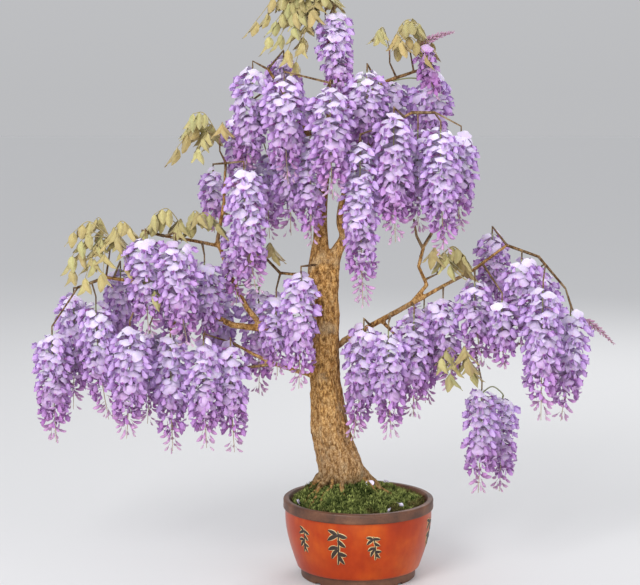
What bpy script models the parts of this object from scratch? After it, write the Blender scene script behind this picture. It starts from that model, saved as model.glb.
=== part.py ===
"""Wisteria bonsai in flower, in its round glazed pot.

Metres, +Z up. The origin is the centre of the pot's underside, and -Y is the side the tree is seen from.
"""

import math
import random

import bmesh
import bpy
import numpy as np
from mathutils import Vector

SEED = 7
GAP = 0.0003

# Pot
POT_HEIGHT = 0.142
RIM_RADIUS = 0.135
RIM_BAND = 0.018
BODY_RADIUS = 0.1315
BODY_FOOT_RADIUS = 0.110
FOOT_RADIUS = 0.103
FOOT_HEIGHT = 0.019
POT_WALL = 0.011
POT_FLOOR = 0.014
POT_SIDES = 32
DRAIN_COUNT = 4
DRAIN_RADIUS = 0.007
DRAIN_RING = 0.055
CHANNEL_WIDTH = 0.012
CHANNEL_DEPTH = 0.004

# Soil and moss
SOIL_EDGE_Z = 0.127
MOUND_RISE = 0.046
MOUND_CENTRE = (-0.024, 0.0)
MOUND_FALL = 2.6
MOUND_BUMPS = 0.003
MOUND_EDGE_RADIUS = 0.118
MOUND_EDGE_WIDTH = 0.030
MOSS_THICKNESS = 0.006
MOSS_LUMPS = 0.006
MOSS_SIDES = 22
SOIL_GAP = GAP + 0.0006
MOUND_RINGS = (0.098, 0.076, 0.054)
ROOT_HOLE_RADIUS = 0.030

# Trunk: x, y, z and radius up to the fork, where two stems part
TRUNK = [
    (-0.024, 0.0, 0.110, 0.028),
    (-0.024, 0.0, 0.165, 0.036),
    (-0.026, 0.0, 0.186, 0.042),
    (-0.030, 0.0, 0.206, 0.039),
    (-0.040, 0.0, 0.235, 0.036),
    (-0.050, 0.0, 0.270, 0.034),
    (-0.056, 0.0, 0.320, 0.0295),
    (-0.062, 0.0, 0.370, 0.027),
    (-0.061, 0.0, 0.410, 0.0245),
    (-0.060, 0.0, 0.446, 0.0235),
    (-0.062, 0.0, 0.500, 0.025),
    (-0.063, 0.0, 0.545, 0.027),
    (-0.063, 0.0, 0.572, 0.021),
]
TRUNK_SIDES = 10
TRUNK_RIDGES = 0.07

# Surface roots, from the flare outwards: heading in degrees, reach and thickness
ROOTS = [
    (178, 0.066, 0.0120),
    (214, 0.072, 0.0085),
    (264, 0.058, 0.0080),
    (344, 0.078, 0.0105),
    (22, 0.064, 0.0080),
    (75, 0.060, 0.0090),
    (128, 0.070, 0.0085),
]
ROOT_SIDES = 5
ROOT_START = 0.014
ROOT_SHOULDER = 0.036
ROOT_SPACE = 2.4 * GAP
ROOT_LIFTS = (0.034, 0.017, 0.011, -0.003)
ROOT_TAPER = (1.3, 1.0, 0.75, 0.4)

# Branches: x, y, z and radius from where each leaves its parent, which it starts inside
BRANCHES = {
    "leader": [
        (-0.066, 0.000, 0.535, 0.0150),
        (-0.068, 0.000, 0.590, 0.0115),
        (-0.067, 0.006, 0.655, 0.0090),
        (-0.060, 0.012, 0.730, 0.0082),
        (-0.054, 0.012, 0.800, 0.0072),
        (-0.050, 0.008, 0.870, 0.0060),
        (-0.052, 0.004, 0.930, 0.0044),
        (-0.058, 0.004, 0.985, 0.0028),
    ],
    "right_stem": [
        (-0.058, -0.004, 0.545, 0.0105),
        (-0.040, -0.008, 0.582, 0.0075),
        (-0.026, -0.010, 0.612, 0.0065),
        (-0.034, -0.014, 0.640, 0.0058),
        (-0.030, -0.020, 0.680, 0.0052),
        (-0.012, -0.014, 0.745, 0.0048),
        (0.012, 0.004, 0.810, 0.0040),
        (0.034, 0.008, 0.862, 0.0030),
    ],
    "crown_left": [
        (-0.060, 0.012, 0.745, 0.0060),
        (-0.096, 0.010, 0.800, 0.0050),
        (-0.130, 0.006, 0.860, 0.0042),
        (-0.160, 0.004, 0.905, 0.0030),
    ],
    "crown_right": [
        (-0.054, 0.012, 0.795, 0.0058),
        (-0.010, 0.018, 0.845, 0.0050),
        (0.050, 0.016, 0.885, 0.0042),
        (0.110, 0.010, 0.905, 0.0030),
    ],
    "crown_front": [
        (-0.052, 0.010, 0.825, 0.0050),
        (-0.058, -0.040, 0.868, 0.0040),
        (-0.050, -0.085, 0.885, 0.0028),
    ],
    "crown_back": [
        (-0.058, 0.012, 0.760, 0.0058),
        (-0.050, 0.060, 0.815, 0.0048),
        (-0.020, 0.100, 0.850, 0.0036),
    ],
    "crown_back_left": [
        (-0.058, 0.012, 0.752, 0.0050),
        (-0.088, 0.066, 0.790, 0.0042),
        (-0.112, 0.112, 0.820, 0.0030),
    ],
    "crown_low_right": [
        (-0.013, -0.015, 0.742, 0.0046),
        (0.040, -0.026, 0.800, 0.0040),
        (0.090, -0.036, 0.830, 0.0034),
        (0.130, -0.030, 0.830, 0.0026),
    ],
    "left_main": [
        (-0.060, 0.010, 0.440, 0.0105),
        (-0.105, 0.012, 0.446, 0.0080),
        (-0.176, 0.012, 0.446, 0.0072),
        (-0.225, 0.010, 0.452, 0.0064),
        (-0.280, 0.014, 0.478, 0.0056),
        (-0.335, 0.014, 0.505, 0.0048),
        (-0.395, 0.010, 0.530, 0.0042),
        (-0.450, 0.006, 0.538, 0.0034),
        (-0.500, 0.004, 0.520, 0.0026),
    ],
    "left_upper": [
        (-0.170, 0.012, 0.446, 0.0064),
        (-0.200, 0.020, 0.482, 0.0058),
        (-0.230, 0.026, 0.540, 0.0052),
        (-0.252, 0.028, 0.602, 0.0046),
        (-0.240, 0.026, 0.670, 0.0038),
        (-0.236, 0.022, 0.740, 0.0030),
    ],
    "left_high": [
        (-0.248, 0.028, 0.592, 0.0042),
        (-0.290, 0.016, 0.602, 0.0038),
        (-0.345, 0.006, 0.612, 0.0032),
        (-0.385, 0.004, 0.622, 0.0024),
    ],
    "left_low": [
        (-0.062, -0.004, 0.352, 0.0070),
        (-0.095, -0.010, 0.368, 0.0050),
        (-0.153, -0.016, 0.387, 0.0044),
        (-0.188, -0.014, 0.404, 0.0038),
        (-0.227, -0.008, 0.424, 0.0028),
    ],
    "left_low_twig": [
        (-0.150, -0.016, 0.386, 0.0036),
        (-0.211, -0.024, 0.380, 0.0030),
        (-0.240, -0.024, 0.378, 0.0022),
        (-0.268, -0.020, 0.368, 0.0018),
    ],
    "left_stub": [
        (-0.066, 0.006, 0.528, 0.0060),
        (-0.096, 0.010, 0.542, 0.0040),
        (-0.140, 0.014, 0.545, 0.0032),
        (-0.166, 0.016, 0.572, 0.0024),
    ],
    "right_branch": [
        (-0.058, 0.006, 0.396, 0.0085),
        (-0.026, 0.014, 0.424, 0.0066),
        (0.022, 0.018, 0.450, 0.0060),
        (0.068, 0.014, 0.476, 0.0056),
        (0.095, 0.010, 0.492, 0.0054),
        (0.121, 0.008, 0.525, 0.0046),
        (0.106, 0.006, 0.558, 0.0040),
        (0.114, 0.004, 0.592, 0.0036),
        (0.128, 0.004, 0.616, 0.0030),
        (0.140, 0.004, 0.654, 0.0022),
    ],
    "right_fork": [
        (0.114, 0.004, 0.588, 0.0032),
        (0.102, 0.008, 0.612, 0.0026),
        (0.097, 0.012, 0.642, 0.0018),
    ],
    "right_outer": [
        (0.094, 0.010, 0.490, 0.0046),
        (0.150, 0.012, 0.522, 0.0042),
        (0.205, 0.010, 0.552, 0.0038),
        (0.262, 0.004, 0.596, 0.0034),
        (0.318, 0.000, 0.576, 0.0028),
        (0.366, 0.000, 0.520, 0.0022),
    ],
    "right_low": [
        (0.040, 0.016, 0.460, 0.0044),
        (0.080, 0.026, 0.420, 0.0036),
        (0.121, 0.022, 0.398, 0.0032),
        (0.183, 0.012, 0.396, 0.0028),
        (0.235, 0.008, 0.406, 0.0024),
        (0.292, 0.008, 0.420, 0.0018),
    ],
}
BRANCH_SIDES = 5
TWIG_SIDES = 3
TWIG_ARRIVAL = 0.014
TWIG_FORKS = 24
TWIG_BENDS = (0.0, 0.012, -0.012, 0.028, -0.028)
TWIG_RISES = (0.008, 0.020, 0.0)
TWIG_CLEARANCE = 0.007
ROUTE_STEPS = 6
TWIG_START = 0.0024
TWIG_END = 0.0017

# Racemes: name, then x, y and z of the stalk's top, length, radius, and how far the tip swings in x.
# Two rows with one name hang from one forked stalk.
RACEMES = [
    ("raceme_left_01", -0.543, -0.020, 0.440, 0.194, 0.035, 0.004),
    ("raceme_left_02", -0.513, 0.045, 0.501, 0.208, 0.034, -0.004),
    ("raceme_left_03", -0.464, -0.025, 0.494, 0.206, 0.034, 0.020),
    ("raceme_left_04", -0.398, -0.085, 0.458, 0.192, 0.037, -0.008),
    ("raceme_left_05", -0.372, 0.000, 0.440, 0.165, 0.031, -0.006),
    ("raceme_left_06", -0.372, -0.060, 0.616, 0.172, 0.036, 0.004),
    ("raceme_left_07", -0.316, -0.100, 0.612, 0.180, 0.037, 0.020),
    ("raceme_left_08", -0.272, -0.030, 0.568, 0.148, 0.033, 0.000),
    ("raceme_left_09", -0.332, -0.040, 0.436, 0.202, 0.033, 0.002),
    ("raceme_left_10", -0.271, -0.080, 0.436, 0.188, 0.032, 0.004),
    ("raceme_left_11", -0.226, -0.050, 0.424, 0.190, 0.032, 0.006),
    ("raceme_left_12", -0.252, 0.085, 0.512, 0.172, 0.033, 0.000),
    ("raceme_left_12", -0.180, 0.060, 0.514, 0.196, 0.033, 0.000),
    ("raceme_left_14", -0.146, -0.040, 0.508, 0.140, 0.029, 0.002),
    ("raceme_left_15", -0.102, -0.075, 0.552, 0.200, 0.033, -0.004),
    ("raceme_left_16", -0.200, -0.075, 0.733, 0.215, 0.037, 0.022),
    ("raceme_left_17", -0.214, 0.005, 0.630, 0.140, 0.031, -0.004),
    ("raceme_left_18", -0.262, 0.075, 0.722, 0.110, 0.025, 0.002),
    ("raceme_left_19", -0.430, 0.060, 0.548, 0.180, 0.034, 0.000),
    ("raceme_left_19", -0.335, 0.080, 0.560, 0.185, 0.035, 0.004),
    ("raceme_crown_01", -0.045, -0.028, 1.000, 0.166, 0.032, 0.016),
    ("raceme_crown_02", -0.186, -0.010, 0.905, 0.186, 0.037, -0.016),
    ("raceme_crown_03", -0.212, 0.060, 0.820, 0.140, 0.032, 0.004),
    ("raceme_crown_03", -0.165, 0.095, 0.750, 0.150, 0.031, 0.004),
    ("raceme_crown_04", -0.130, -0.075, 0.886, 0.176, 0.037, 0.006),
    ("raceme_crown_05", -0.124, -0.005, 0.790, 0.176, 0.033, 0.004),
    ("raceme_crown_06", -0.086, -0.050, 0.790, 0.190, 0.030, 0.002),
    ("raceme_crown_07", -0.052, -0.118, 0.872, 0.186, 0.037, 0.004),
    ("raceme_crown_08", -0.001, -0.100, 0.780, 0.280, 0.034, 0.006),
    ("raceme_crown_09", 0.012, -0.040, 0.900, 0.160, 0.038, 0.004),
    ("raceme_crown_10", 0.056, -0.100, 0.826, 0.216, 0.036, 0.004),
    ("raceme_crown_11", 0.100, -0.045, 0.800, 0.176, 0.034, 0.002),
    ("raceme_crown_12", 0.136, -0.095, 0.802, 0.214, 0.035, 0.008),
    ("raceme_crown_13", 0.176, -0.030, 0.792, 0.168, 0.031, -0.004),
    ("raceme_crown_14", 0.126, 0.040, 0.890, 0.150, 0.038, 0.004),
    ("raceme_crown_14", 0.060, 0.055, 0.880, 0.150, 0.036, 0.000),
    ("raceme_crown_16", 0.114, -0.020, 0.940, 0.085, 0.022, 0.022),
    ("raceme_crown_17", -0.134, 0.062, 0.925, 0.125, 0.032, 0.000),
    ("raceme_crown_17", -0.105, 0.140, 0.850, 0.190, 0.035, -0.004),
    ("raceme_crown_19", -0.020, 0.130, 0.880, 0.200, 0.036, 0.004),
    ("raceme_crown_19", 0.050, 0.130, 0.800, 0.180, 0.034, 0.004),
    ("raceme_right_01", 0.008, -0.030, 0.456, 0.202, 0.033, -0.018),
    ("raceme_right_02", 0.050, -0.065, 0.452, 0.190, 0.034, 0.006),
    ("raceme_right_03", 0.096, -0.035, 0.478, 0.184, 0.034, 0.000),
    ("raceme_right_04", 0.148, -0.015, 0.500, 0.156, 0.033, 0.014),
    ("raceme_right_05", 0.202, -0.035, 0.534, 0.150, 0.034, 0.016),
    ("raceme_right_06", 0.246, -0.075, 0.506, 0.120, 0.027, 0.006),
    ("raceme_right_07", 0.240, 0.046, 0.612, 0.160, 0.031, 0.016),
    ("raceme_right_08", 0.282, -0.050, 0.575, 0.160, 0.037, 0.002),
    ("raceme_right_09", 0.314, -0.095, 0.530, 0.230, 0.038, 0.000),
    ("raceme_right_10", 0.372, -0.030, 0.476, 0.190, 0.035, -0.014),
    ("raceme_right_11", 0.217, -0.030, 0.342, 0.186, 0.032, -0.004),
    ("raceme_right_11", 0.262, 0.040, 0.318, 0.176, 0.031, -0.004),
    ("raceme_right_13", 0.120, 0.070, 0.480, 0.180, 0.034, 0.004),
    ("raceme_right_14", 0.330, 0.050, 0.540, 0.190, 0.035, 0.004),
]

CORE_SIDES = 4
FLORET_PITCH = 0.040
FLORET_LIFT = 0.38
KEEL_DEPTH = 0.006
STALK_RADIUS = 0.0013
STALK_LENGTH = 0.012
TAIL_LENGTH = 0.016
TAIL_RADIUS = 0.0009
CORE_SHARE = 0.37
FLORET_SPREAD = 1.14
CLEAR = 0.0012
PETAL_SIZES = (1.0, 0.88, 0.76, 0.64, 0.52)
PETAL_CLEARANCE = 0.0035
PETAL_WAIST = 0.62

# Leafy shoots: name, spur, then the compound leaves as reach in x, y and z and number of leaflets
LEAF_SHOOTS = [
    ("leaves_crown_top", (-0.060, 0.000, 1.010), [
        (-0.060, -0.020, 0.030, 7), (-0.100, 0.010, -0.020, 7), (0.010, -0.015, 0.048, 5),
        (0.020, 0.020, 0.010, 7), (-0.035, 0.045, 0.030, 7)]),
    ("leaves_crown_right", (0.052, -0.010, 0.930), [
        (0.050, -0.020, 0.040, 5), (0.075, 0.030, 0.010, 5), (-0.020, -0.040, 0.030, 5)]),
    ("leaves_left_upper", (-0.246, 0.010, 0.776), [
        (-0.045, -0.020, 0.040, 7), (-0.030, 0.030, 0.010, 7), (-0.075, 0.000, -0.020, 7)]),
    ("leaves_left_lobe", (-0.440, -0.010, 0.600), [
        (-0.060, -0.020, 0.010, 7), (0.040, -0.030, 0.020, 5), (-0.035, 0.045, 0.020, 5)]),
    ("leaves_right_inner", (0.138, -0.010, 0.560), [
        (0.045, -0.030, 0.010, 7), (-0.010, -0.040, 0.020, 5), (0.050, 0.030, 0.000, 5)]),
    ("leaves_right_low", (0.178, -0.020, 0.386), [
        (-0.034, -0.040, 0.006, 5), (0.010, -0.060, 0.008, 5)]),
]
LEAFLET_LENGTH = 0.040
LEAFLET_WIDTH = 0.017
LEAFLET_THICK = 0.0022
LEAFLET_PAIR_STEP = 0.26
SHOOT_HEIGHT = 0.012
LEAF_WOOD_CLEARANCE = 0.009
LEAF_LEAF_CLEARANCE = 0.012
LEAF_RACEME_CLEARANCE = 0.010

# Bud spikes: name, spur x, y and z, and the way to the tip
BUD_SPIKES = [
    ("bud_spike_crown", (0.100, -0.006, 0.944), (0.062, -0.010, 0.024)),
    ("bud_spike_right", (0.392, 0.004, 0.470), (0.062, -0.004, -0.050)),
]
BUD_COUNT = 7
BUD_LENGTH = 0.012


def clear_scene():
    for item in list(bpy.data.objects):
        bpy.data.objects.remove(item, do_unlink=True)


def principled(name, colour, roughness):
    material = bpy.data.materials.new(name)
    material.use_nodes = True
    shader = material.node_tree.nodes["Principled BSDF"]
    shader.inputs["Base Color"].default_value = (*colour, 1.0)
    shader.inputs["Roughness"].default_value = roughness
    return material


def add_object(name, points, faces, material, smooth=False):
    mesh = bpy.data.meshes.new(name)
    mesh.from_pydata([tuple(point) for point in points], [], faces)
    mesh.materials.append(material)
    if smooth:
        mesh.shade_smooth()
        mesh.set_sharp_from_angle(angle=math.radians(40))
    item = bpy.data.objects.new(name, mesh)
    bpy.context.scene.collection.objects.link(item)
    return item


def apply_modifiers(item):
    graph = bpy.context.evaluated_depsgraph_get()
    mesh = bpy.data.meshes.new_from_object(item.evaluated_get(graph))
    item.modifiers.clear()
    item.data = mesh


def boolean(item, others, operation):
    """One Boolean of the item with all the others, applied; the others are then removed."""
    if not others:
        return
    group = bpy.data.collections.new(item.name + " parts")
    bpy.context.scene.collection.children.link(group)
    for other in others:
        bpy.context.scene.collection.objects.unlink(other)
        group.objects.link(other)
    modifier = item.modifiers.new(operation.lower(), "BOOLEAN")
    modifier.operation = operation
    modifier.operand_type = "COLLECTION"
    modifier.collection = group
    modifier.solver = "MANIFOLD"
    apply_modifiers(item)
    for other in others:
        bpy.data.objects.remove(other, do_unlink=True)
    bpy.data.collections.remove(group)


def keep_largest_body(item):
    """Drops loose scraps that a cut leaves beside the main body."""
    shape = bmesh.new()
    shape.from_mesh(item.data)
    left = set(shape.verts)
    bodies = []
    while left:
        seed = left.pop()
        body = {seed}
        edge = [seed]
        while edge:
            vert = edge.pop()
            for link in vert.link_edges:
                other = link.other_vert(vert)
                if other not in body:
                    body.add(other)
                    edge.append(other)
        left -= body
        bodies.append(body)
    bodies.sort(key=len)
    for body in bodies[:-1]:
        bmesh.ops.delete(shape, geom=list(body), context="VERTS")
    shape.to_mesh(item.data)
    shape.free()


def ring_faces(rings, sides):
    """Faces of a closed tube made of rings of points, with a flat cap at each end."""
    faces = [list(range(sides))[::-1]]
    for ring in range(rings - 1):
        low = ring * sides
        high = low + sides
        for side in range(sides):
            after = (side + 1) % sides
            faces.append([low + side, low + after, high + after, high + side])
    faces.append([(rings - 1) * sides + side for side in range(sides)])
    return faces


def tube_points(path, radii, sides, ridges=0.0, seed=0):
    """Rings of points round a path, each square to it."""
    path = [Vector(point) for point in path]
    draw = random.Random(seed)
    phase = draw.uniform(0, math.tau)
    across = Vector((1, 0, 0))
    points = []
    for index, centre in enumerate(path):
        before = path[max(index - 1, 0)]
        after = path[min(index + 1, len(path) - 1)]
        along = (after - before).normalized()
        if abs(along.dot(across)) > 0.9:
            across = Vector((0, 1, 0))
        across = (across - along * along.dot(across)).normalized()
        up = along.cross(across)
        for side in range(sides):
            angle = math.tau * side / sides
            ridge = math.cos(3 * angle + phase + 0.4 * index) + 0.5 * math.cos(5 * angle - phase)
            reach = radii[index] * (1 + ridges * ridge)
            points.append(centre + across * (reach * math.cos(angle)) + up * (reach * math.sin(angle)))
    return points


def add_tube(name, path, radii, sides, material, ridges=0.0, seed=0):
    points = tube_points(path, radii, sides, ridges, seed)
    return add_object(name, points, ring_faces(len(path), sides), material)


def curve_through(rows, steps):
    """Points and radii on a smooth curve through rows of x, y, z and radius."""
    rows = [Vector(row) for row in rows]
    ends = [2 * rows[0] - rows[1], *rows, 2 * rows[-1] - rows[-2]]
    out = []
    for index in range(1, len(ends) - 2):
        a, b, c, d = ends[index - 1 : index + 3]
        for step in range(steps):
            t = step / steps
            square = (2 * a - 5 * b + 4 * c - d) * t**2
            cube = (3 * b - a - 3 * c + d) * t**3
            out.append(0.5 * (2 * b + (c - a) * t + square + cube))
    out.append(rows[-1])
    return [row.xyz for row in out], [row.w for row in out]


def turned(name, profile, sides, material):
    """A solid turned round Z. The profile runs from the axis, up the outside and back to the axis."""
    points = [Vector((0, 0, profile[0][1]))]
    for radius, height in profile[1:-1]:
        for side in range(sides):
            angle = math.tau * side / sides
            points.append(Vector((radius * math.cos(angle), radius * math.sin(angle), height)))
    points.append(Vector((0, 0, profile[-1][1])))
    faces = []
    rings = len(profile) - 2
    for side in range(sides):
        after = (side + 1) % sides
        faces.append([0, 1 + after, 1 + side])
        for ring in range(rings - 1):
            low = 1 + ring * sides
            high = low + sides
            faces.append([low + side, low + after, high + after, high + side])
        top = 1 + (rings - 1) * sides
        faces.append([top + side, top + after, len(points) - 1])
    return add_object(name, points, faces, material, smooth=True)


def pot_profile():
    """Underside, outside, rim and inside of the pot."""
    shoulder = POT_HEIGHT - RIM_BAND
    span = shoulder - FOOT_HEIGHT
    profile = [(0, 0), (FOOT_RADIUS - 0.002, 0), (FOOT_RADIUS, 0.002), (FOOT_RADIUS, FOOT_HEIGHT - 0.001)]
    for share in (0.0, 0.2, 0.5, 1.0):
        swell = math.sin(math.radians(90 * min(1, share * 1.1)))
        radius = BODY_FOOT_RADIUS + (BODY_RADIUS - BODY_FOOT_RADIUS) * swell
        profile.append((radius, FOOT_HEIGHT + share * span))
    profile += [
        (RIM_RADIUS, shoulder + 0.002),
        (RIM_RADIUS, POT_HEIGHT - 0.003),
        (RIM_RADIUS - 0.003, POT_HEIGHT),
        (RIM_RADIUS - POT_WALL, POT_HEIGHT),
        (BODY_RADIUS - POT_WALL, shoulder),
        (BODY_RADIUS - POT_WALL - 0.003, 0.070),
        (BODY_FOOT_RADIUS - POT_WALL, POT_FLOOR + 0.018),
        (BODY_FOOT_RADIUS - POT_WALL - 0.014, POT_FLOOR),
        (0, POT_FLOOR),
    ]
    return profile


def inner_radius(height):
    """The pot's inside radius at a height, to the flats of its sides."""
    inside = pot_profile()[-6:-1]
    heights = [z for _, z in inside][::-1]
    radii = [radius for radius, _ in inside][::-1]
    return float(np.interp(height, heights, radii)) * math.cos(math.pi / POT_SIDES)


def soil_radius():
    """The soil's and the moss's radius at the top, inside the pot's shoulder."""
    return inner_radius(POT_HEIGHT - RIM_BAND) - GAP


def make_pot(material):
    pot = turned("pot", pot_profile(), POT_SIDES, material)
    cutters = []
    for index in range(DRAIN_COUNT):
        heading = math.radians(45 + 360 * index / DRAIN_COUNT)
        way = Vector((math.cos(heading), math.sin(heading), 0))
        centre = way * DRAIN_RING
        hole = [centre + Vector((0, 0, -0.01)), centre + Vector((0, 0, POT_FLOOR + 0.01))]
        cutters.append(add_tube("drain hole", hole, [DRAIN_RADIUS] * 2, 8, material))
        side = way.cross(Vector((0, 0, 1))) * (CHANNEL_WIDTH / 2)
        start = way * (DRAIN_RING - 0.002)
        end = way * (FOOT_RADIUS + 0.02)
        corners = []
        for height in (-0.01, CHANNEL_DEPTH):
            rise = Vector((0, 0, height))
            corners += [start + side + rise, end + side + rise, end - side + rise, start - side + rise]
        cutters.append(add_object("drain channel", corners, ring_faces(2, 4), material))
    boolean(pot, cutters, "DIFFERENCE")
    pot.data.shade_smooth()
    pot.data.set_sharp_from_angle(angle=math.radians(40))
    return pot


def mound_height(x, y):
    """Height of the soil's surface, highest round the trunk."""
    reach = math.hypot(x - MOUND_CENTRE[0], y - MOUND_CENTRE[1]) / RIM_RADIUS
    bumps = MOUND_BUMPS * math.sin(60 * x + 1) * math.sin(52 * y + 2)
    edge = min(1.0, max(0.0, (MOUND_EDGE_RADIUS - math.hypot(x, y)) / MOUND_EDGE_WIDTH))
    return SOIL_EDGE_Z + edge * (MOUND_RISE * math.exp(-MOUND_FALL * reach**2) + bumps)


def mound_points(radii, lift, rough):
    """Rings of points on the mound, each ring smaller and nearer the trunk than the last."""
    draw = random.Random(SEED)
    points = []
    for index, radius in enumerate(radii):
        share = 1 - radius / radii[0]
        shift = Vector((*MOUND_CENTRE, 0)) * share
        for side in range(MOSS_SIDES):
            angle = math.tau * (side + 0.5 * (index % 2)) / MOSS_SIDES
            x = shift.x + radius * math.cos(angle)
            y = shift.y + radius * math.sin(angle)
            lump = rough * draw.uniform(0, 1) if index else 0
            points.append(Vector((x, y, mound_height(x, y) + lift + lump)))
    return points


def slant_faces(rings, sides, first):
    """Triangles between rings whose points stand half a step apart in turn."""
    faces = []
    for ring in range(rings - 1):
        low = first + ring * sides
        high = low + sides
        for side in range(sides):
            after = (side + 1) % sides
            if ring % 2:
                faces.append([low + side, low + after, high + after])
                faces.append([low + side, high + after, high + side])
            else:
                faces.append([low + side, low + after, high + side])
                faces.append([low + after, high + after, high + side])
    return faces


def make_soil(material):
    """The soil fills the pot up to the underside of the moss."""
    top_radii = [soil_radius(), *MOUND_RINGS, ROOT_HOLE_RADIUS]
    points = mound_points(top_radii, 0, 0)
    rings = len(top_radii)
    faces = slant_faces(rings, MOSS_SIDES, 0)
    faces.append([(rings - 1) * MOSS_SIDES + side for side in range(MOSS_SIDES)])
    for height in (0.070, POT_FLOOR + 0.018, POT_FLOOR + GAP):
        radius = inner_radius(height) - SOIL_GAP
        for side in range(MOSS_SIDES):
            angle = math.tau * side / MOSS_SIDES
            points.append(Vector((radius * math.cos(angle), radius * math.sin(angle), height)))
    wall = [0, rings * MOSS_SIDES, (rings + 1) * MOSS_SIDES, (rings + 2) * MOSS_SIDES]
    for above, below in zip(wall, wall[1:]):
        for side in range(MOSS_SIDES):
            after = (side + 1) % MOSS_SIDES
            faces.append([below + side, below + after, above + after, above + side])
    faces.append([wall[-1] + side for side in range(MOSS_SIDES)][::-1])
    return add_object("soil", points, faces, material)


def make_moss(material):
    """A cushion of moss over the soil, open round the trunk."""
    radii = [soil_radius(), *MOUND_RINGS, ROOT_HOLE_RADIUS]
    under = mound_points(radii, GAP, 0)
    over = mound_points(radii, MOSS_THICKNESS, MOSS_LUMPS)
    count = len(radii) * MOSS_SIDES
    low = slant_faces(len(radii), MOSS_SIDES, 0)
    faces = [face[::-1] for face in low] + slant_faces(len(radii), MOSS_SIDES, count)
    for first, flip in ((0, False), ((len(radii) - 1) * MOSS_SIDES, True)):
        for side in range(MOSS_SIDES):
            after = (side + 1) % MOSS_SIDES
            face = [first + side, first + after, count + first + after, count + first + side]
            faces.append(face[::-1] if flip else face)
    return add_object("moss", under + over, faces, material)


def root_path(heading, reach):
    """A surface root runs down the flare, over the moss and into the mound."""
    way = Vector((math.cos(math.radians(heading)), math.sin(math.radians(heading)), 0))
    centre = Vector((*MOUND_CENTRE, 0))
    path = []
    distances = (ROOT_START, ROOT_SHOULDER, (reach + ROOT_SHOULDER) / 2, reach)
    for distance, lift in zip(distances, ROOT_LIFTS):
        point = centre + way * distance
        point.z = mound_height(point.x, point.y) + lift
        path.append(point)
    return path


class Raceme:
    """One hanging raceme: its axis, and its outer and core radius at each height."""

    def __init__(self, name, x, y, z, length, radius, swing):
        self.name = name
        self.top = Vector((x, y, z))
        self.length = length
        self.radius = radius
        self.swing = swing

    def share(self, z):
        return min(1.0, max(0.0, (self.top.z - z) / self.length))

    def axis(self, z):
        return Vector((self.top.x + self.swing * self.share(z) ** 2, self.top.y, z))

    def outer(self, z):
        share = self.share(z)
        return FLORET_SPREAD * self.radius * min(1.0, 0.35 + 3.2 * share) * (1 - 0.62 * share**2.2)

    def core(self, z):
        return CORE_SHARE * self.outer(z)

    def spans(self, z):
        return self.top.z - self.length - 0.006 < z < self.top.z + 0.006


def inside_cell(point, own, others):
    """True where a point of one raceme is clear of its neighbours' share of the space."""
    centre = own.axis(point.z)
    near = (point - centre).length_squared - own.outer(point.z) ** 2
    for other in others:
        if other is own or not other.spans(point.z):
            continue
        far_centre = other.axis(point.z)
        apart = (far_centre - centre).length
        if apart > FLORET_SPREAD * (own.radius + other.radius) + CLEAR:
            continue
        far = (point - far_centre).length_squared - other.outer(point.z) ** 2
        if (far - near) / (2 * apart) < CLEAR:
            return False
    return True


def segment_distance(point, start, end):
    along = end - start
    share = min(1.0, max(0.0, (point - start).dot(along) / max(along.length_squared, 1e-12)))
    return (point - start - along * share).length


def clear_of_wood(point, wood, spare):
    for start, end, radius in wood:
        if segment_distance(point, start, end) < radius + spare:
            return False
    return True


def wood_segments(path, radii):
    pairs = zip(path, path[1:], radii, radii[1:])
    return [(Vector(start), Vector(end), max(first, second)) for start, end, first, second in pairs]


def wood_near(wood, low, high, spare):
    """The segments whose box comes near a box."""
    found = []
    for segment in wood:
        start, end, radius = segment
        reach = radius + spare
        lowest = [min(pair) - reach for pair in zip(start, end)]
        highest = [max(pair) + reach for pair in zip(start, end)]
        if all(lowest[axis] < high[axis] and highest[axis] > low[axis] for axis in range(3)):
            found.append(segment)
    return found


def twig_path(start, target, arrive, rise, aside):
    """An arching twig from inside a branch to its spur, which it reaches along the arriving way."""
    near_end = target - arrive * TWIG_ARRIVAL
    middle = (start + near_end) / 2 + Vector((aside.x, aside.y, rise))
    return [start, middle, near_end, target - arrive * GAP]


def route_clearance(path, racemes, own):
    """The least distance from a twig to the cores of the racemes that it passes."""
    least = 1.0
    for start, end in zip(path, path[1:]):
        for step in range(ROUTE_STEPS + 1):
            point = start.lerp(end, step / ROUTE_STEPS)
            for raceme in racemes:
                if raceme in own or not raceme.spans(point.z):
                    continue
                gap = (point - raceme.axis(point.z)).length - raceme.core(point.z)
                least = min(least, gap)
    return least


def find_twig(target, arrive, forks, racemes, own):
    """The shortest twig to a spur that stays clear of the other racemes' cores."""
    forks = sorted(forks, key=lambda fork: (fork[0] - target).length + 0.4 * max(0, fork[0].z - target.z))
    best = None
    for start, radius in forks[:TWIG_FORKS]:
        flat = Vector((target.x - start.x, target.y - start.y, 0))
        side = Vector((-flat.y, flat.x, 0))
        side = side.normalized() if side.length > 1e-6 else Vector((1, 0, 0))
        for bend in TWIG_BENDS:
            for rise in TWIG_RISES:
                path = twig_path(start, target, arrive, rise, side * bend)
                clearance = route_clearance(path, racemes, own)
                length = sum((b - a).length for a, b in zip(path, path[1:]))
                cost = length + 0.2 * abs(bend) + (1.0 - clearance if clearance < TWIG_CLEARANCE else 0)
                if best is None or cost < best[0]:
                    best = (cost, path, radius)
    return best[1], best[2]


def twig_radii(path, parent_radius):
    length = sum((b - a).length for a, b in zip(path, path[1:]))
    thick = min(parent_radius * 0.8, TWIG_START + 0.008 * length)
    return [thick, (thick + TWIG_END) / 2, TWIG_END, TWIG_END]


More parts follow.
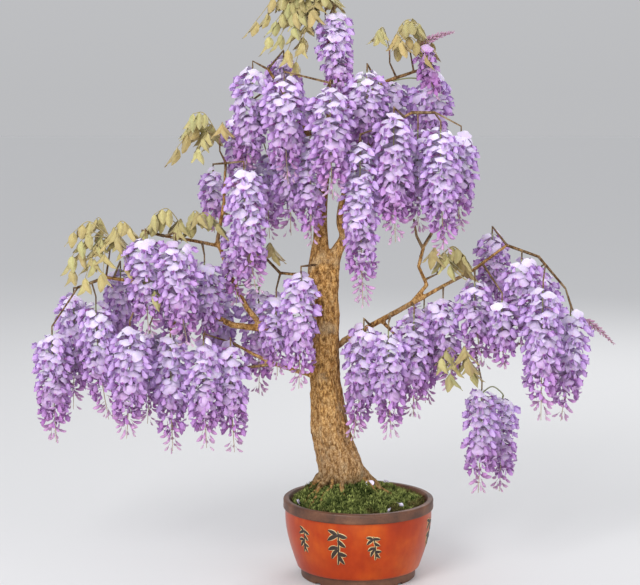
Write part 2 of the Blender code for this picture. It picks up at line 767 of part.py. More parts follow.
def plan_wood(racemes, spurs):
    """Paths and radii of the trunk, roots, branches and twigs, as lists of (path, radii, sides, ridges)."""
    trunk = curve_through(TRUNK, 1)
    tubes = [(*trunk, TRUNK_SIDES, TRUNK_RIDGES)]
    for heading, reach, thick in ROOTS:
        path = root_path(heading, reach)
        tubes.append((path, [thick * share for share in ROOT_TAPER], ROOT_SIDES, 0.0))
    forks = []
    for rows in BRANCHES.values():
        path, radii = curve_through(rows, 1)
        tubes.append((path, radii, BRANCH_SIDES, 0.0))
        for index in range(1, len(path)):
            for share in (0.25, 0.5, 0.75, 1.0):
                forks.append((path[index - 1].lerp(path[index], share), radii[index]))
    twigs = []
    for target, arrive, own in spurs:
        path, radius = find_twig(target, arrive, forks, racemes, own)
        twigs.append((path, twig_radii(path, radius), TWIG_SIDES, 0.0))
    return tubes + twigs


def make_tree(tubes, material):
    solids = []
    for index, (path, radii, sides, ridges) in enumerate(tubes):
        name = "tree" if index == 0 else "wood"
        solids.append(add_tube(name, path, radii, sides, material, ridges, SEED))
    tree = solids[0]
    boolean(tree, solids[1:], "UNION")
    return tree


def cut_for_wood(item, tubes, material):
    """Opens the soil or the moss round the trunk's foot and the roots."""
    cutters = []
    for path, radii, sides, ridges in tubes[: 1 + len(ROOTS)]:
        wider = [radius + ROOT_SPACE for radius in radii]
        path = [Vector(point) for point in path]
        along = (path[-1] - path[-2]).normalized()
        back = (path[0] - path[1]).normalized()
        path = [path[0] + back * 1.5 * GAP, *path[1:-1], path[-1] + along * 1.5 * GAP]
        cutters.append(add_tube("root space", path, wider, sides, material, ridges, SEED))
    boolean(item, cutters, "DIFFERENCE")
    keep_largest_body(item)


def petal(quad, own, direction, reach, width, others, wood):
    """Points of a petal that grows from a face of the core, or None where the place is taken."""
    middle = sum(quad, Vector()) / 4
    outward = Vector((direction.x, direction.y, 0)).normalized()
    across = Vector((-outward.y, outward.x, 0))
    for shrink in PETAL_SIZES:
        out = reach * shrink
        half = width * shrink
        centre = middle + direction * (PETAL_WAIST * out)
        tip = middle + direction * out
        left = centre - across * half
        right = centre + across * half
        samples = [left, right, tip, centre]
        samples += [(side + end) / 2 for side in (left, right) for end in (tip, middle)]
        in_cell = all(inside_cell(point, own, others) for point in samples)
        if in_cell and all(clear_of_wood(point, wood, PETAL_CLEARANCE) for point in samples):
            return left, right, tip
    return None


def raceme_solid(raceme, others, wood, material):
    """Stalk, core and florets of one raceme, as one closed mesh."""
    top = raceme.top.z
    bands = max(2, round((raceme.length - STALK_LENGTH - TAIL_LENGTH) / FLORET_PITCH))
    first = top - STALK_LENGTH - 0.004
    last = top - raceme.length + TAIL_LENGTH
    heights = [first + (last - first) * band / bands for band in range(bands + 1)]
    heights = [top, *heights, top - raceme.length]
    radii = [STALK_RADIUS, *[raceme.core(z) for z in heights[1:-1]], TAIL_RADIUS]
    turn = random.Random(raceme.name + str(raceme.length)).uniform(0, math.tau)
    points = []
    for ring, (z, radius) in enumerate(zip(heights, radii)):
        centre = raceme.axis(z)
        for side in range(CORE_SIDES):
            angle = turn - math.radians(30) * ring - math.tau * side / CORE_SIDES
            points.append(centre + Vector((radius * math.cos(angle), radius * math.sin(angle), 0)))
    faces = []
    reach = raceme.radius + 0.012
    beside = Vector((reach + 0.03, reach, 0))
    lowest = raceme.top - beside - Vector((0, 0, raceme.length))
    near = wood_near(wood, lowest, raceme.top + beside, 0.01)
    for face in ring_faces(len(heights), CORE_SIDES):
        ring = min(face) // CORE_SIDES
        if not 1 <= ring <= bands or max(face) // CORE_SIDES == ring:
            faces.append(face)
            continue
        quad = [points[index] for index in face]
        middle = sum(quad, Vector()) / 4
        share = raceme.share(middle.z)
        outward = middle - raceme.axis(middle.z)
        flat = Vector((outward.x, outward.y, 0)).normalized()
        lift = FLORET_LIFT if (face[0] + ring) % 2 else -FLORET_LIFT
        direction = (flat + Vector((0, 0, lift + 0.2 - 0.7 * share))).normalized()
        length = (raceme.outer(middle.z) - outward.length) / direction.dot(flat)
        width = min(0.78 * (outward.length + PETAL_WAIST * length), 0.6 * raceme.radius)
        found = petal(quad, raceme, direction, length, width, others, near)
        if found is None:
            faces.append(face)
            continue
        left, right, tip = found
        start = len(points)
        points += [left, right, (left + right) / 2 - Vector((0, 0, KEEL_DEPTH)), tip]
        faces += petal_faces(face, quad, start, left, right)
    return add_object(raceme.name, points, faces, material)


def petal_faces(face, quad, start, left, right):
    """A petal from a core face's four corners: flat above, with a keel below, and pointed."""
    order = sorted(range(4), key=lambda corner: quad[corner].z)

    def leftness(corner):
        return (quad[corner] - left).length - (quad[corner] - right).length

    low_left, low_right = sorted(order[:2], key=leftness)
    top_left, top_right = sorted(order[2:], key=leftness)
    a, b, c, d = (face[corner] for corner in (top_left, top_right, low_left, low_right))
    side_left, side_right, keel, tip = range(start, start + 4)
    return [
        [side_left, side_right, b, a],
        [keel, c, d],
        [side_left, a, c],
        [keel, side_left, c],
        [d, b, side_right],
        [d, side_right, keel],
        [side_right, side_left, tip],
        [side_left, keel, tip],
        [keel, side_right, tip],
    ]


def make_raceme_node(name, group, racemes, wood, material):
    """One raceme, or two on a forked stalk."""
    solids = [raceme_solid(raceme, racemes, wood, material) for raceme in group]
    node = solids[0]
    joined = solids[1:]
    spur = group[0].top
    for other in group[1:]:
        joined.append(add_tube("fork", *fork_path(spur, other), 4, material))
    boolean(node, joined, "UNION")
    node.name = name
    return node


def fork_path(spur, other):
    """The stalk that arches from the shared spur over to the second raceme."""
    start = spur - Vector((0, 0, 0.006))
    end = other.top - Vector((0, 0, 0.004))
    middle = (start + end) / 2
    middle.z = max(start.z, end.z) + 0.006
    over = other.top + Vector((0, 0, 0.004))
    return [start, middle, over, end], [STALK_RADIUS * 0.9, STALK_RADIUS, STALK_RADIUS, STALK_RADIUS * 0.8]


def blade(name, base, tip, face_up, width, thick, material):
    """A leaflet: pointed at both ends, widest before its middle and ridged along it."""
    along = tip - base
    across = along.cross(face_up).normalized()
    up = across.cross(along).normalized()
    middle = base + along * 0.42
    points = [
        base,
        middle + across * width / 2,
        tip,
        middle - across * width / 2,
        middle + up * thick * 0.8,
        middle - up * thick * 0.2,
    ]
    faces = [[0, 1, 4], [1, 2, 4], [2, 3, 4], [3, 0, 4], [1, 0, 5], [2, 1, 5], [3, 2, 5], [0, 3, 5]]
    return add_object(name, points, faces, material)


def leaf_has_room(point, racemes, wood, taken):
    """True where a point of a leaflet is clear of the wood, the other leaflets and the racemes."""
    if not clear_of_wood(point, wood, LEAF_WOOD_CLEARANCE):
        return False
    if not clear_of_wood(point, taken, LEAF_LEAF_CLEARANCE):
        return False
    for raceme in racemes:
        apart = (point - raceme.axis(point.z)).length
        if raceme.spans(point.z) and apart <= raceme.outer(point.z) + LEAF_RACEME_CLEARANCE:
            return False
    return True


def make_leaf_shoot(name, spur, leaves, racemes, wood, taken, material):
    """A short shoot with young compound leaves, whose leaflets hang in pairs along an arching stalk."""
    spur = Vector(spur)
    crown = spur + Vector((0, 0, SHOOT_HEIGHT))
    stem = [spur, crown, crown + Vector((0, 0, 0.004))]
    node = add_tube(name, stem, [0.0016, 0.0015, 0.0010], 4, material)
    draw = random.Random(name)
    parts = []
    for x, y, z, leaflets in leaves:
        way = Vector((x, y, z))
        end = crown + way
        middle = crown + way * 0.55 + Vector((0, 0, 0.35 * Vector((x, y, 0)).length))
        root = crown - Vector((0, 0, 0.003))
        stalk = [root, middle, end]
        parts.append(add_tube("leaf stalk", stalk, [0.0011, 0.0010, 0.0008], 3, material))
        for number in range(leaflets):
            share = 1 - (number // 2) * LEAFLET_PAIR_STEP
            base = middle.lerp(end, share * 2 - 1) if share > 0.5 else root.lerp(middle, share * 2)
            side = 0 if number == 0 else (1 if number % 2 else -1)
            flat = Vector((x, y, 0)).normalized()
            across = Vector((-flat.y, flat.x, 0)) * side
            ahead = 0.55 if number == 0 else 0.25
            hang = flat * ahead + across * 0.62 - Vector((0, 0, draw.uniform(0.7, 1.1)))
            size = LEAFLET_LENGTH * draw.uniform(0.75, 1.05)
            tip = base + hang.normalized() * size
            samples = [base.lerp(tip, step) for step in (0.3, 0.5, 0.75, 1.0)]
            if all(leaf_has_room(point, racemes, wood, taken) for point in samples):
                sunk = base - hang.normalized() * 0.0006
                face_up = -across - flat * 0.3
                parts.append(blade("leaflet", sunk, tip, face_up, LEAFLET_WIDTH, LEAFLET_THICK, material))
                taken.append((base, tip, 0.001))
    boolean(node, parts, "UNION")
    return node


def make_bud_spike(name, spur, way, material):
    """A young spike of flower buds, still stiff."""
    spur = Vector(spur)
    way = Vector(way)
    along = way.normalized()
    side = along.cross(Vector((0, 0, 1))).normalized()
    up = side.cross(along)
    node = add_tube(name, [spur, spur + way * 0.5, spur + way], [0.0014, 0.0012, 0.0007], 4, material)
    parts = []
    for number in range(BUD_COUNT):
        share = 0.22 + 0.76 * number / (BUD_COUNT - 1)
        angle = math.radians(137.5 * number)
        out = side * math.cos(angle) + up * math.sin(angle)
        base = spur + way * share
        length = BUD_LENGTH * (1.1 - 0.6 * share)
        tip = base + (out + along * 0.9).normalized() * length
        parts.append(blade("bud", base, tip, along - out, length * 0.42, length * 0.36, material))
    boolean(node, parts, "UNION")
    return node


def main():
    clear_scene()
    glaze = principled("glaze", (0.58, 0.11, 0.01), 0.25)
    earth = principled("soil", (0.05, 0.03, 0.02), 0.95)
    green = principled("moss", (0.10, 0.16, 0.02), 0.95)
    bark = principled("bark", (0.38, 0.28, 0.15), 0.85)
    lilac = principled("blossom", (0.50, 0.36, 0.74), 0.6)
    leaf = principled("leaf", (0.36, 0.33, 0.12), 0.6)
    bud = principled("bud", (0.42, 0.24, 0.32), 0.6)
    racemes = [Raceme(*row) for row in RACEMES]
    groups = {}
    for raceme in racemes:
        groups.setdefault(raceme.name, []).append(raceme)
    down = Vector((0, 0, -1))
    spurs = [(group[0].top, down, group) for group in groups.values()]
    spurs += [(Vector(spur), Vector((0, 0, 1)), []) for _, spur, _ in LEAF_SHOOTS]
    spurs += [(Vector(spur), Vector(way).normalized(), []) for _, spur, way in BUD_SPIKES]
    tubes = plan_wood(racemes, spurs)
    make_pot(glaze)
    cut_for_wood(make_soil(earth), tubes, earth)
    cut_for_wood(make_moss(green), tubes, green)
    make_tree(tubes, bark)
    wood = [segment for path, radii, _, _ in tubes for segment in wood_segments(path, radii)]
    for group in groups.values():
        for other in group[1:]:
            wood += wood_segments(*fork_path(group[0].top, other))
    for name, group in groups.items():
        make_raceme_node(name, group, racemes, wood, lilac)
    taken = []
    for name, spur, leaves in LEAF_SHOOTS:
        make_leaf_shoot(name, spur, leaves, racemes, wood, taken, leaf)
    for name, spur, way in BUD_SPIKES:
        make_bud_spike(name, spur, way, bud)


main()
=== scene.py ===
"""Looks of the wisteria bonsai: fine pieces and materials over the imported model, and its stage."""

import math
import random

import bmesh
import bpy
import numpy as np
from mathutils import Matrix, Vector, noise
from mathutils.bvhtree import BVHTree


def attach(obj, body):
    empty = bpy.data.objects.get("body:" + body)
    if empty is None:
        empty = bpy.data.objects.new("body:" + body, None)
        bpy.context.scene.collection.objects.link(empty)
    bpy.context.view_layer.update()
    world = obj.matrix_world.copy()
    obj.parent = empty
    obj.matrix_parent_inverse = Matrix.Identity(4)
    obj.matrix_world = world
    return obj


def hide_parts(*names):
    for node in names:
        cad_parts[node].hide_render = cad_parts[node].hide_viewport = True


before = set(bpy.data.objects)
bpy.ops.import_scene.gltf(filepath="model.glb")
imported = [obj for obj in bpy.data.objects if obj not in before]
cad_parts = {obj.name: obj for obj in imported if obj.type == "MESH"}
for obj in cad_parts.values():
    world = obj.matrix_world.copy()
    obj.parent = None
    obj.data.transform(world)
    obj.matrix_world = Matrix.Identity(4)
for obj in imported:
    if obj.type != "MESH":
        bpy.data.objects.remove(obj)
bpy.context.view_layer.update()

SEED = 11
GOLDEN_ANGLE = math.radians(137.508)
WHITE = (1, 1, 1)
BLACK = (0, 0, 0)

# Raceme: node, x, y and z of the stalk's top, length, radius, and how far the tip swings in x
RACEMES = [
    ("raceme_left_01", -0.543, -0.020, 0.440, 0.194, 0.035, 0.004),
    ("raceme_left_02", -0.513, 0.045, 0.501, 0.208, 0.034, -0.004),
    ("raceme_left_03", -0.464, -0.025, 0.494, 0.206, 0.034, 0.020),
    ("raceme_left_04", -0.398, -0.085, 0.458, 0.192, 0.037, -0.008),
    ("raceme_left_05", -0.372, 0.000, 0.440, 0.165, 0.031, -0.006),
    ("raceme_left_06", -0.372, -0.060, 0.616, 0.172, 0.036, 0.004),
    ("raceme_left_07", -0.316, -0.100, 0.612, 0.180, 0.037, 0.020),
    ("raceme_left_08", -0.272, -0.030, 0.568, 0.148, 0.033, 0.000),
    ("raceme_left_09", -0.332, -0.040, 0.436, 0.202, 0.033, 0.002),
    ("raceme_left_10", -0.271, -0.080, 0.436, 0.188, 0.032, 0.004),
    ("raceme_left_11", -0.226, -0.050, 0.424, 0.190, 0.032, 0.006),
    ("raceme_left_12", -0.252, 0.085, 0.512, 0.172, 0.033, 0.000),
    ("raceme_left_12", -0.180, 0.060, 0.514, 0.196, 0.033, 0.000),
    ("raceme_left_14", -0.146, -0.040, 0.508, 0.140, 0.029, 0.002),
    ("raceme_left_15", -0.102, -0.075, 0.552, 0.200, 0.033, -0.004),
    ("raceme_left_16", -0.200, -0.075, 0.733, 0.215, 0.037, 0.022),
    ("raceme_left_17", -0.214, 0.005, 0.630, 0.140, 0.031, -0.004),
    ("raceme_left_18", -0.262, 0.075, 0.722, 0.110, 0.025, 0.002),
    ("raceme_left_19", -0.430, 0.060, 0.548, 0.180, 0.034, 0.000),
    ("raceme_left_19", -0.335, 0.080, 0.560, 0.185, 0.035, 0.004),
    ("raceme_crown_01", -0.045, -0.028, 1.000, 0.166, 0.032, 0.016),
    ("raceme_crown_02", -0.186, -0.010, 0.905, 0.186, 0.037, -0.016),
    ("raceme_crown_03", -0.212, 0.060, 0.820, 0.140, 0.032, 0.004),
    ("raceme_crown_03", -0.165, 0.095, 0.750, 0.150, 0.031, 0.004),
    ("raceme_crown_04", -0.130, -0.075, 0.886, 0.176, 0.037, 0.006),
    ("raceme_crown_05", -0.124, -0.005, 0.790, 0.176, 0.033, 0.004),
    ("raceme_crown_06", -0.086, -0.050, 0.790, 0.190, 0.030, 0.002),
    ("raceme_crown_07", -0.052, -0.118, 0.872, 0.186, 0.037, 0.004),
    ("raceme_crown_08", -0.001, -0.100, 0.780, 0.280, 0.034, 0.006),
    ("raceme_crown_09", 0.012, -0.040, 0.900, 0.160, 0.038, 0.004),
    ("raceme_crown_10", 0.056, -0.100, 0.826, 0.216, 0.036, 0.004),
    ("raceme_crown_11", 0.100, -0.045, 0.800, 0.176, 0.034, 0.002),
    ("raceme_crown_12", 0.136, -0.095, 0.802, 0.214, 0.035, 0.008),
    ("raceme_crown_13", 0.176, -0.030, 0.792, 0.168, 0.031, -0.004),
    ("raceme_crown_14", 0.126, 0.040, 0.890, 0.150, 0.038, 0.004),
    ("raceme_crown_14", 0.060, 0.055, 0.880, 0.150, 0.036, 0.000),
    ("raceme_crown_16", 0.114, -0.020, 0.940, 0.085, 0.022, 0.022),
    ("raceme_crown_17", -0.134, 0.062, 0.925, 0.125, 0.032, 0.000),
    ("raceme_crown_17", -0.105, 0.140, 0.850, 0.190, 0.035, -0.004),
    ("raceme_crown_19", -0.020, 0.130, 0.880, 0.200, 0.036, 0.004),
    ("raceme_crown_19", 0.050, 0.130, 0.800, 0.180, 0.034, 0.004),
    ("raceme_right_01", 0.008, -0.030, 0.456, 0.202, 0.033, -0.018),
    ("raceme_right_02", 0.050, -0.065, 0.452, 0.190, 0.034, 0.006),
    ("raceme_right_03", 0.096, -0.035, 0.478, 0.184, 0.034, 0.000),
    ("raceme_right_04", 0.148, -0.015, 0.500, 0.156, 0.033, 0.014),
    ("raceme_right_05", 0.202, -0.035, 0.534, 0.150, 0.034, 0.016),
    ("raceme_right_06", 0.246, -0.075, 0.506, 0.120, 0.027, 0.006),
    ("raceme_right_07", 0.240, 0.046, 0.612, 0.160, 0.031, 0.016),
    ("raceme_right_08", 0.282, -0.050, 0.575, 0.160, 0.037, 0.002),
    ("raceme_right_09", 0.314, -0.095, 0.530, 0.230, 0.038, 0.000),
    ("raceme_right_10", 0.372, -0.030, 0.476, 0.190, 0.035, -0.014),
    ("raceme_right_11", 0.217, -0.030, 0.342, 0.186, 0.032, -0.004),
    ("raceme_right_11", 0.262, 0.040, 0.318, 0.176, 0.031, -0.004),
    ("raceme_right_13", 0.120, 0.070, 0.480, 0.180, 0.034, 0.004),
    ("raceme_right_14", 0.330, 0.050, 0.540, 0.190, 0.035, 0.004),
]
STALK_RADIUS = 0.0013

# Florets: one each step on a raceme of the usual radius, open down to the first share of its length,
# half open down to the second, with buds below
FLORET_STEP = 0.00228
OPEN_SHARE = 0.66
HALF_OPEN_SHARE = 0.78
BANNER_WIDTH = 0.0272
BANNER_HEIGHT = 0.0190
BANNER_LEAN = 0.75
WING_LENGTH = 0.0135
BUD_KEEP = 0.75
YOUNG_LENGTH = 0.1
FLORET_SPREAD = 1.05
USUAL_RADIUS = 0.034
BUD_LENGTH = 0.0138
OPEN_REACH = 0.0085
BUD_REACH = 0.0100

PALE = (0.88, 0.82, 0.97)
LILAC = (0.72, 0.58, 0.88)
VIOLET = (0.44, 0.21, 0.61)
LATE = (0.42, 0.14, 0.43)
PALE_BUD = (0.66, 0.50, 0.54)
MAGENTA = (0.40, 0.14, 0.42)
ROSE = (0.62, 0.31, 0.62)
CREAM = (0.86, 0.84, 0.55)
STEM_PINK = (0.33, 0.17, 0.13)
STEM_GREEN = (0.30, 0.32, 0.13)
TAIL_STEM = (0.50, 0.38, 0.22)


def material(name, roughness):
    """A material with its node tree and its Principled shader."""
    made = bpy.data.materials.new(name)
    made.use_nodes = True
    shader = made.node_tree.nodes["Principled BSDF"]
    shader.inputs["Roughness"].default_value = roughness
    return made, made.node_tree, shader


def add_node(tree, kind, **values):
    node = tree.nodes.new(kind)
    for name, value in values.items():
        if name in node.inputs:
            node.inputs[name].default_value = value
        else:
            setattr(node, name, value)
    return node


def ramp(tree, factor, stops):
    node = tree.nodes.new("ShaderNodeValToRGB")
    elements = node.color_ramp.elements
    while len(elements) < len(stops):
        elements.new(0.5)
    for element, (place, colour) in zip(elements, stops):
        element.position = place
        element.color = (*colour, 1)
    tree.links.new(factor, node.inputs["Fac"])
    return node.outputs["Color"]


def bump(tree, shader, height, strength, distance):
    node = add_node(tree, "ShaderNodeBump", Strength=strength, Distance=distance)
    tree.links.new(height, node.inputs["Height"])
    tree.links.new(node.outputs["Normal"], shader.inputs["Normal"])


def blended(tree, blend, factor, first, second):
    """Two colours mixed; a factor is a number or a socket."""
    node = tree.nodes.new("ShaderNodeMix")
    node.data_type = "RGBA"
    node.blend_type = blend
    for socket, value in ((node.inputs[0], factor), (node.inputs[6], first), (node.inputs[7], second)):
        if isinstance(value, bpy.types.NodeSocket):
            tree.links.new(value, socket)
        elif isinstance(value, tuple):
            socket.default_value = (*value, 1)
        else:
            socket.default_value = value
    return node.outputs[2]


def place(tree, scale=WHITE):
    """Object coordinates, stretched."""
    coords = tree.nodes.new("ShaderNodeTexCoord")
    mapping = add_node(tree, "ShaderNodeMapping")
    mapping.inputs["Scale"].default_value = scale
    tree.links.new(coords.outputs["Object"], mapping.inputs["Vector"])
    return mapping.outputs["Vector"]


def noise_of(tree, vector, scale, detail=4.0, roughness=0.55):
    node = add_node(tree, "ShaderNodeTexNoise", Scale=scale, Detail=detail, Roughness=roughness)
    tree.links.new(vector, node.inputs["Vector"])
    return node.outputs["Fac"]


def tint_of(tree):
    node = tree.nodes.new("ShaderNodeVertexColor")
    node.layer_name = "tint"
    return node.outputs["Color"]


def stained(tree, base, factor, pattern, low, high, stain):
    """A colour multiplied by a stain where the pattern is low, and left alone where it is high."""
    return blended(tree, "MULTIPLY", factor, base, ramp(tree, pattern, [(low, stain), (high, WHITE)]))


def maths(tree, operation, *values):
    """A Math node's result; each value is a number or a socket."""
    node = add_node(tree, "ShaderNodeMath", operation=operation)
    for socket, value in zip(node.inputs, values):
        if isinstance(value, bpy.types.NodeSocket):
            tree.links.new(value, socket)
        else:
            socket.default_value = value
    return node.outputs[0]


def new_object(name, data):
    item = bpy.data.objects.new(name, data)
    bpy.context.scene.collection.objects.link(item)
    return item


def dress(piece, node=None):
    """Puts a piece on the one body, in place of a CAD node if one is named."""
    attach(piece, "root")
    if node:
        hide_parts(node)


def paint(mesh, tints):
    """The tint that the materials read, for each point."""
    colours = np.ones((len(mesh.vertices), 4), np.float32)
    colours[:, :3] = tints
    mesh.color_attributes.new("tint", "FLOAT_COLOR", "POINT").data.foreach_set("color", colours.ravel())


def with_modifier(item, kind, **settings):
    """An object's mesh after one modifier."""
    modifier = item.modifiers.new(kind, kind)
    for name, value in settings.items():
        setattr(modifier, name, value)
    graph = bpy.context.evaluated_depsgraph_get()
    mesh = bpy.data.meshes.new_from_object(item.evaluated_get(graph))
    item.modifiers.clear()
    return mesh


def petal_material():
    """Petals: their own tint, with fine veins along them and a soft mottling."""
    made, tree, shader = material("petals", 0.55)
    tint = tint_of(tree)
    along = tree.nodes.new("ShaderNodeUVMap")
    stretch = add_node(tree, "ShaderNodeMapping")
    stretch.inputs["Scale"].default_value = (26, 2.2, 1)
    tree.links.new(along.outputs["UV"], stretch.inputs["Vector"])
    veins = noise_of(tree, stretch.outputs["Vector"], 1.0, 2.0)
    veined = stained(tree, tint, 0.26, veins, 0.35, 0.6, (0.66, 0.58, 0.86))
    mottle = noise_of(tree, place(tree), 240, 3.0)
    mottled = stained(tree, veined, 0.22, mottle, 0.3, 0.65, (0.74, 0.68, 0.86))
    tree.links.new(mottled, shader.inputs["Base Color"])
    shader.inputs["Sheen Weight"].default_value = 0.25
    shader.inputs["Sheen Roughness"].default_value = 0.5
    shader.inputs["Specular IOR Level"].default_value = 0.3
    shader.inputs["Subsurface Weight"].default_value = 0.12
    shader.inputs["Subsurface Radius"].default_value = (0.006, 0.004, 0.008)
    bump(tree, shader, veins, 0.25, 0.0004)
    return made


def build_mesh(name, points, faces, tints, uvs, look):
    """A mesh from arrays: points, triangles as rows of point numbers, and a tint and a uv for each point."""
    mesh = bpy.data.meshes.new(name)
    loops = faces.astype(np.int32).ravel()
    mesh.vertices.add(len(points))
    mesh.vertices.foreach_set("co", points.astype(np.float32).ravel())
    mesh.loops.add(len(loops))
    mesh.loops.foreach_set("vertex_index", loops)
    mesh.polygons.add(len(faces))
    mesh.polygons.foreach_set("loop_start", np.arange(0, len(loops), 3, dtype=np.int32))
    mesh.update(calc_edges=True)
    paint(mesh, tints)
    mesh.uv_layers.new(name="UVMap").data.foreach_set("uv", uvs.astype(np.float32)[loops].ravel())
    mesh.materials.append(look)
    mesh.shade_smooth()
    return new_object(name, mesh)


class Shape:
    """Points, faces, uvs and tints gathered into one mesh."""

    def __init__(self):
        self.points, self.uvs, self.tints, self.faces = [], [], [], []
        self.count = 0

    def add(self, points, faces, tints, uvs=None):
        points = np.asarray(points, float)
        self.points.append(points)
        self.tints.append(np.broadcast_to(np.asarray(tints, float), points.shape))
        self.uvs.append(np.zeros((len(points), 2)) if uvs is None else np.asarray(uvs, float))
        self.faces.append(np.asarray(faces, int) + self.count)
        self.count += len(points)

    def arrays(self):
        return [np.concatenate(parts) for parts in (self.points, self.faces, self.tints, self.uvs)]

    def build(self, name, look):
        return build_mesh(name, *self.arrays(), look)


def grid_faces(across, along):
    """Triangles of a grid of points with the given number of columns and rows."""
    faces = []
    for row in range(along - 1):
        for column in range(across - 1):
            a = row * across + column
            faces.append([a, a + 1, a + across + 1])
            faces.append([a, a + across + 1, a + across])
    return faces


def ring_faces(rings, sides):
    """Triangles between rings of points that each close on themselves."""
    faces = []
    for ring in range(rings - 1):
        low = ring * sides
        for side in range(sides):
            after = (side + 1) % sides
            faces.append([low + side, low + after, low + sides + after])
            faces.append([low + side, low + sides + after, low + sides + side])
    return faces


def tube_mesh(path, radii, sides):
    """Points and triangles of a tube along a path, closed flat at its ends."""
    path = np.asarray(path, float)
    points = []
    across = np.array([1.0, 0.2, 0.1])
    for index, centre in enumerate(path):
        along = path[min(index + 1, len(path) - 1)] - path[max(index - 1, 0)]
        along = along / (np.linalg.norm(along) + 1e-12)
        across = across - along * across.dot(along)
        across = across / (np.linalg.norm(across) + 1e-12)
        up = np.cross(along, across)
        angles = math.tau * np.arange(sides) / sides
        ring = centre + radii[index] * (np.outer(np.cos(angles), across) + np.outer(np.sin(angles), up))
        points.append(ring)
    points = np.concatenate([*points, path[:1], path[-1:]])
    faces = ring_faces(len(path), sides)
    start = len(path) * sides
    last = (len(path) - 1) * sides
    for side in range(sides):
        after = (side + 1) % sides
        faces.append([start, after, side])
        faces.append([start + 1, last + side, last + after])
    return points, faces


def smooth_path(points, steps):
    """Points on a smooth curve through the given ones."""
    rows = np.asarray(points, float)
    ends = np.concatenate([[2 * rows[0] - rows[1]], rows, [2 * rows[-1] - rows[-2]]])
    out = []
    for index in range(1, len(ends) - 2):
        a, b, c, d = ends[index - 1 : index + 3]
        square, cube = 2 * a - 5 * b + 4 * c - d, 3 * b - a - 3 * c + d
        for step in range(steps):
            t = step / steps
            out.append(0.5 * (2 * b + (c - a) * t + square * t**2 + cube * t**3))
    out.append(rows[-1])
    return np.array(out)


def mix(first, second, share):
    share = np.asarray(share, float)[..., None]
    return np.asarray(first) * (1 - share) + np.asarray(second) * share


def banner_shape(shape, folded):
    """The upper petal: broad, notched, creased in the middle and leaning back. Y points outwards."""
    across, along = 7, 6
    points, uvs, tints = [], [], []
    for row in range(along):
        v = row / (along - 1)
        half = BANNER_WIDTH / 2 * (0.26 + 0.74 * math.sin(math.pi * min(1, 0.06 + 0.66 * v)) ** 0.8)
        half *= 1 - 0.22 * max(0, v - 0.75) / 0.25
        for column in range(across):
            u = 2 * column / (across - 1) - 1
            notch = 0.0020 * math.exp(-((u / 0.28) ** 2)) * v**3 + 0.0030 * u * u * v**2
            rise = BANNER_HEIGHT * v - notch
            lean = BANNER_LEAN * (0.35 + 0.65 * v) * (1 - folded)
            x = u * half * (1 - 0.45 * folded)
            y = 0.0012 - rise * math.sin(lean) + 0.0014 * (1 - abs(u)) * math.sin(math.pi * v)
            z = rise * math.cos(lean) - 0.0042 * u * u * v * (1 - folded) + 0.0007 * math.sin(5 * u + 2 * v)
            forward = folded * (0.011 * v + 0.004 * (1 - abs(u)) * math.sin(math.pi * v))
            y += forward - 0.0026 * u * u * v * (1 - folded)
            z *= 1 - 0.40 * folded
            points.append((x, y, z))
            uvs.append((column / (across - 1), v))
            heart = math.exp(-((u / 0.30) ** 2) - ((v - 0.16) / 0.16) ** 2)
            tint = mix(LILAC, PALE, min(1, 0.15 + 1.05 * v))
            tints.append(mix(tint, CREAM, 0.5 * heart))
    shape.add(points, grid_faces(across, along), tints, uvs)


def wing_shape(shape, side):
    """One of the two rounded petals that hang forwards beside the keel."""
    across, along = 4, 5
    points, uvs, tints = [], [], []
    for row in range(along):
        v = row / (along - 1)
        for column in range(across):
            u = 2 * column / (across - 1) - 1
            height = 0.0052 * math.sin(math.pi * (0.12 + 0.78 * v)) ** 0.7
            x = side * (0.0008 + 0.0048 * math.sin(math.pi * min(1, 0.08 + 0.80 * v)) * (1 - 0.35 * u))
            y = 0.001 + WING_LENGTH * v * 0.86
            z = -0.0018 - 0.0072 * v * v + u * height
            points.append((x, y, z))
            uvs.append((column / (across - 1), v))
            tints.append(mix(mix(VIOLET, LILAC, 0.35 + 0.4 * v), ROSE, 0.45 * v * max(0, -u)))
    faces = grid_faces(across, along)
    shape.add(points, faces if side > 0 else [face[::-1] for face in faces], tints, uvs)


def keel_shape(shape):
    """The small boat between the wings, darker at its tip."""
    rows = 4
    points, tints = [], []
    for row in range(rows):
        v = row / (rows - 1)
        wide = 0.0016 * math.sin(math.pi * (0.15 + 0.8 * v))
        y = 0.001 + 0.0118 * v
        z = -0.0058 - 0.0010 * v + 0.0030 * v * v
        points += [(-wide, y, z + 0.0040), (0, y, z), (wide, y, z + 0.0040)]
        tints += [mix(LILAC, VIOLET, 0.5 + 0.5 * v)] * 3
    shape.add(points, grid_faces(3, rows), tints)


def calyx_shape(shape, stem):
    """The small cup that holds the petals, and the thin stalk behind it."""
    path = [(0, -0.0050, 0.0006), (0, -0.0025, 0), (0, 0.0016, -0.0004)]
    shape.add(*tube_mesh(path, [0.0007, 0.0022, 0.0026], 5), MAGENTA)
    path = [(0, -0.0048 - stem, 0.003), (0, -0.0048 - stem / 2, 0.0026), (0, -0.0044, 0.0006)]
    shape.add(*tube_mesh(path, [0.0006, 0.0005, 0.0006], 3), STEM_PINK)


def floret_template(folded, stem):
    shape = Shape()
    banner_shape(shape, folded)
    wing_shape(shape, -1)
    wing_shape(shape, 1)
    keel_shape(shape)
    calyx_shape(shape, stem)
    return shape.arrays()


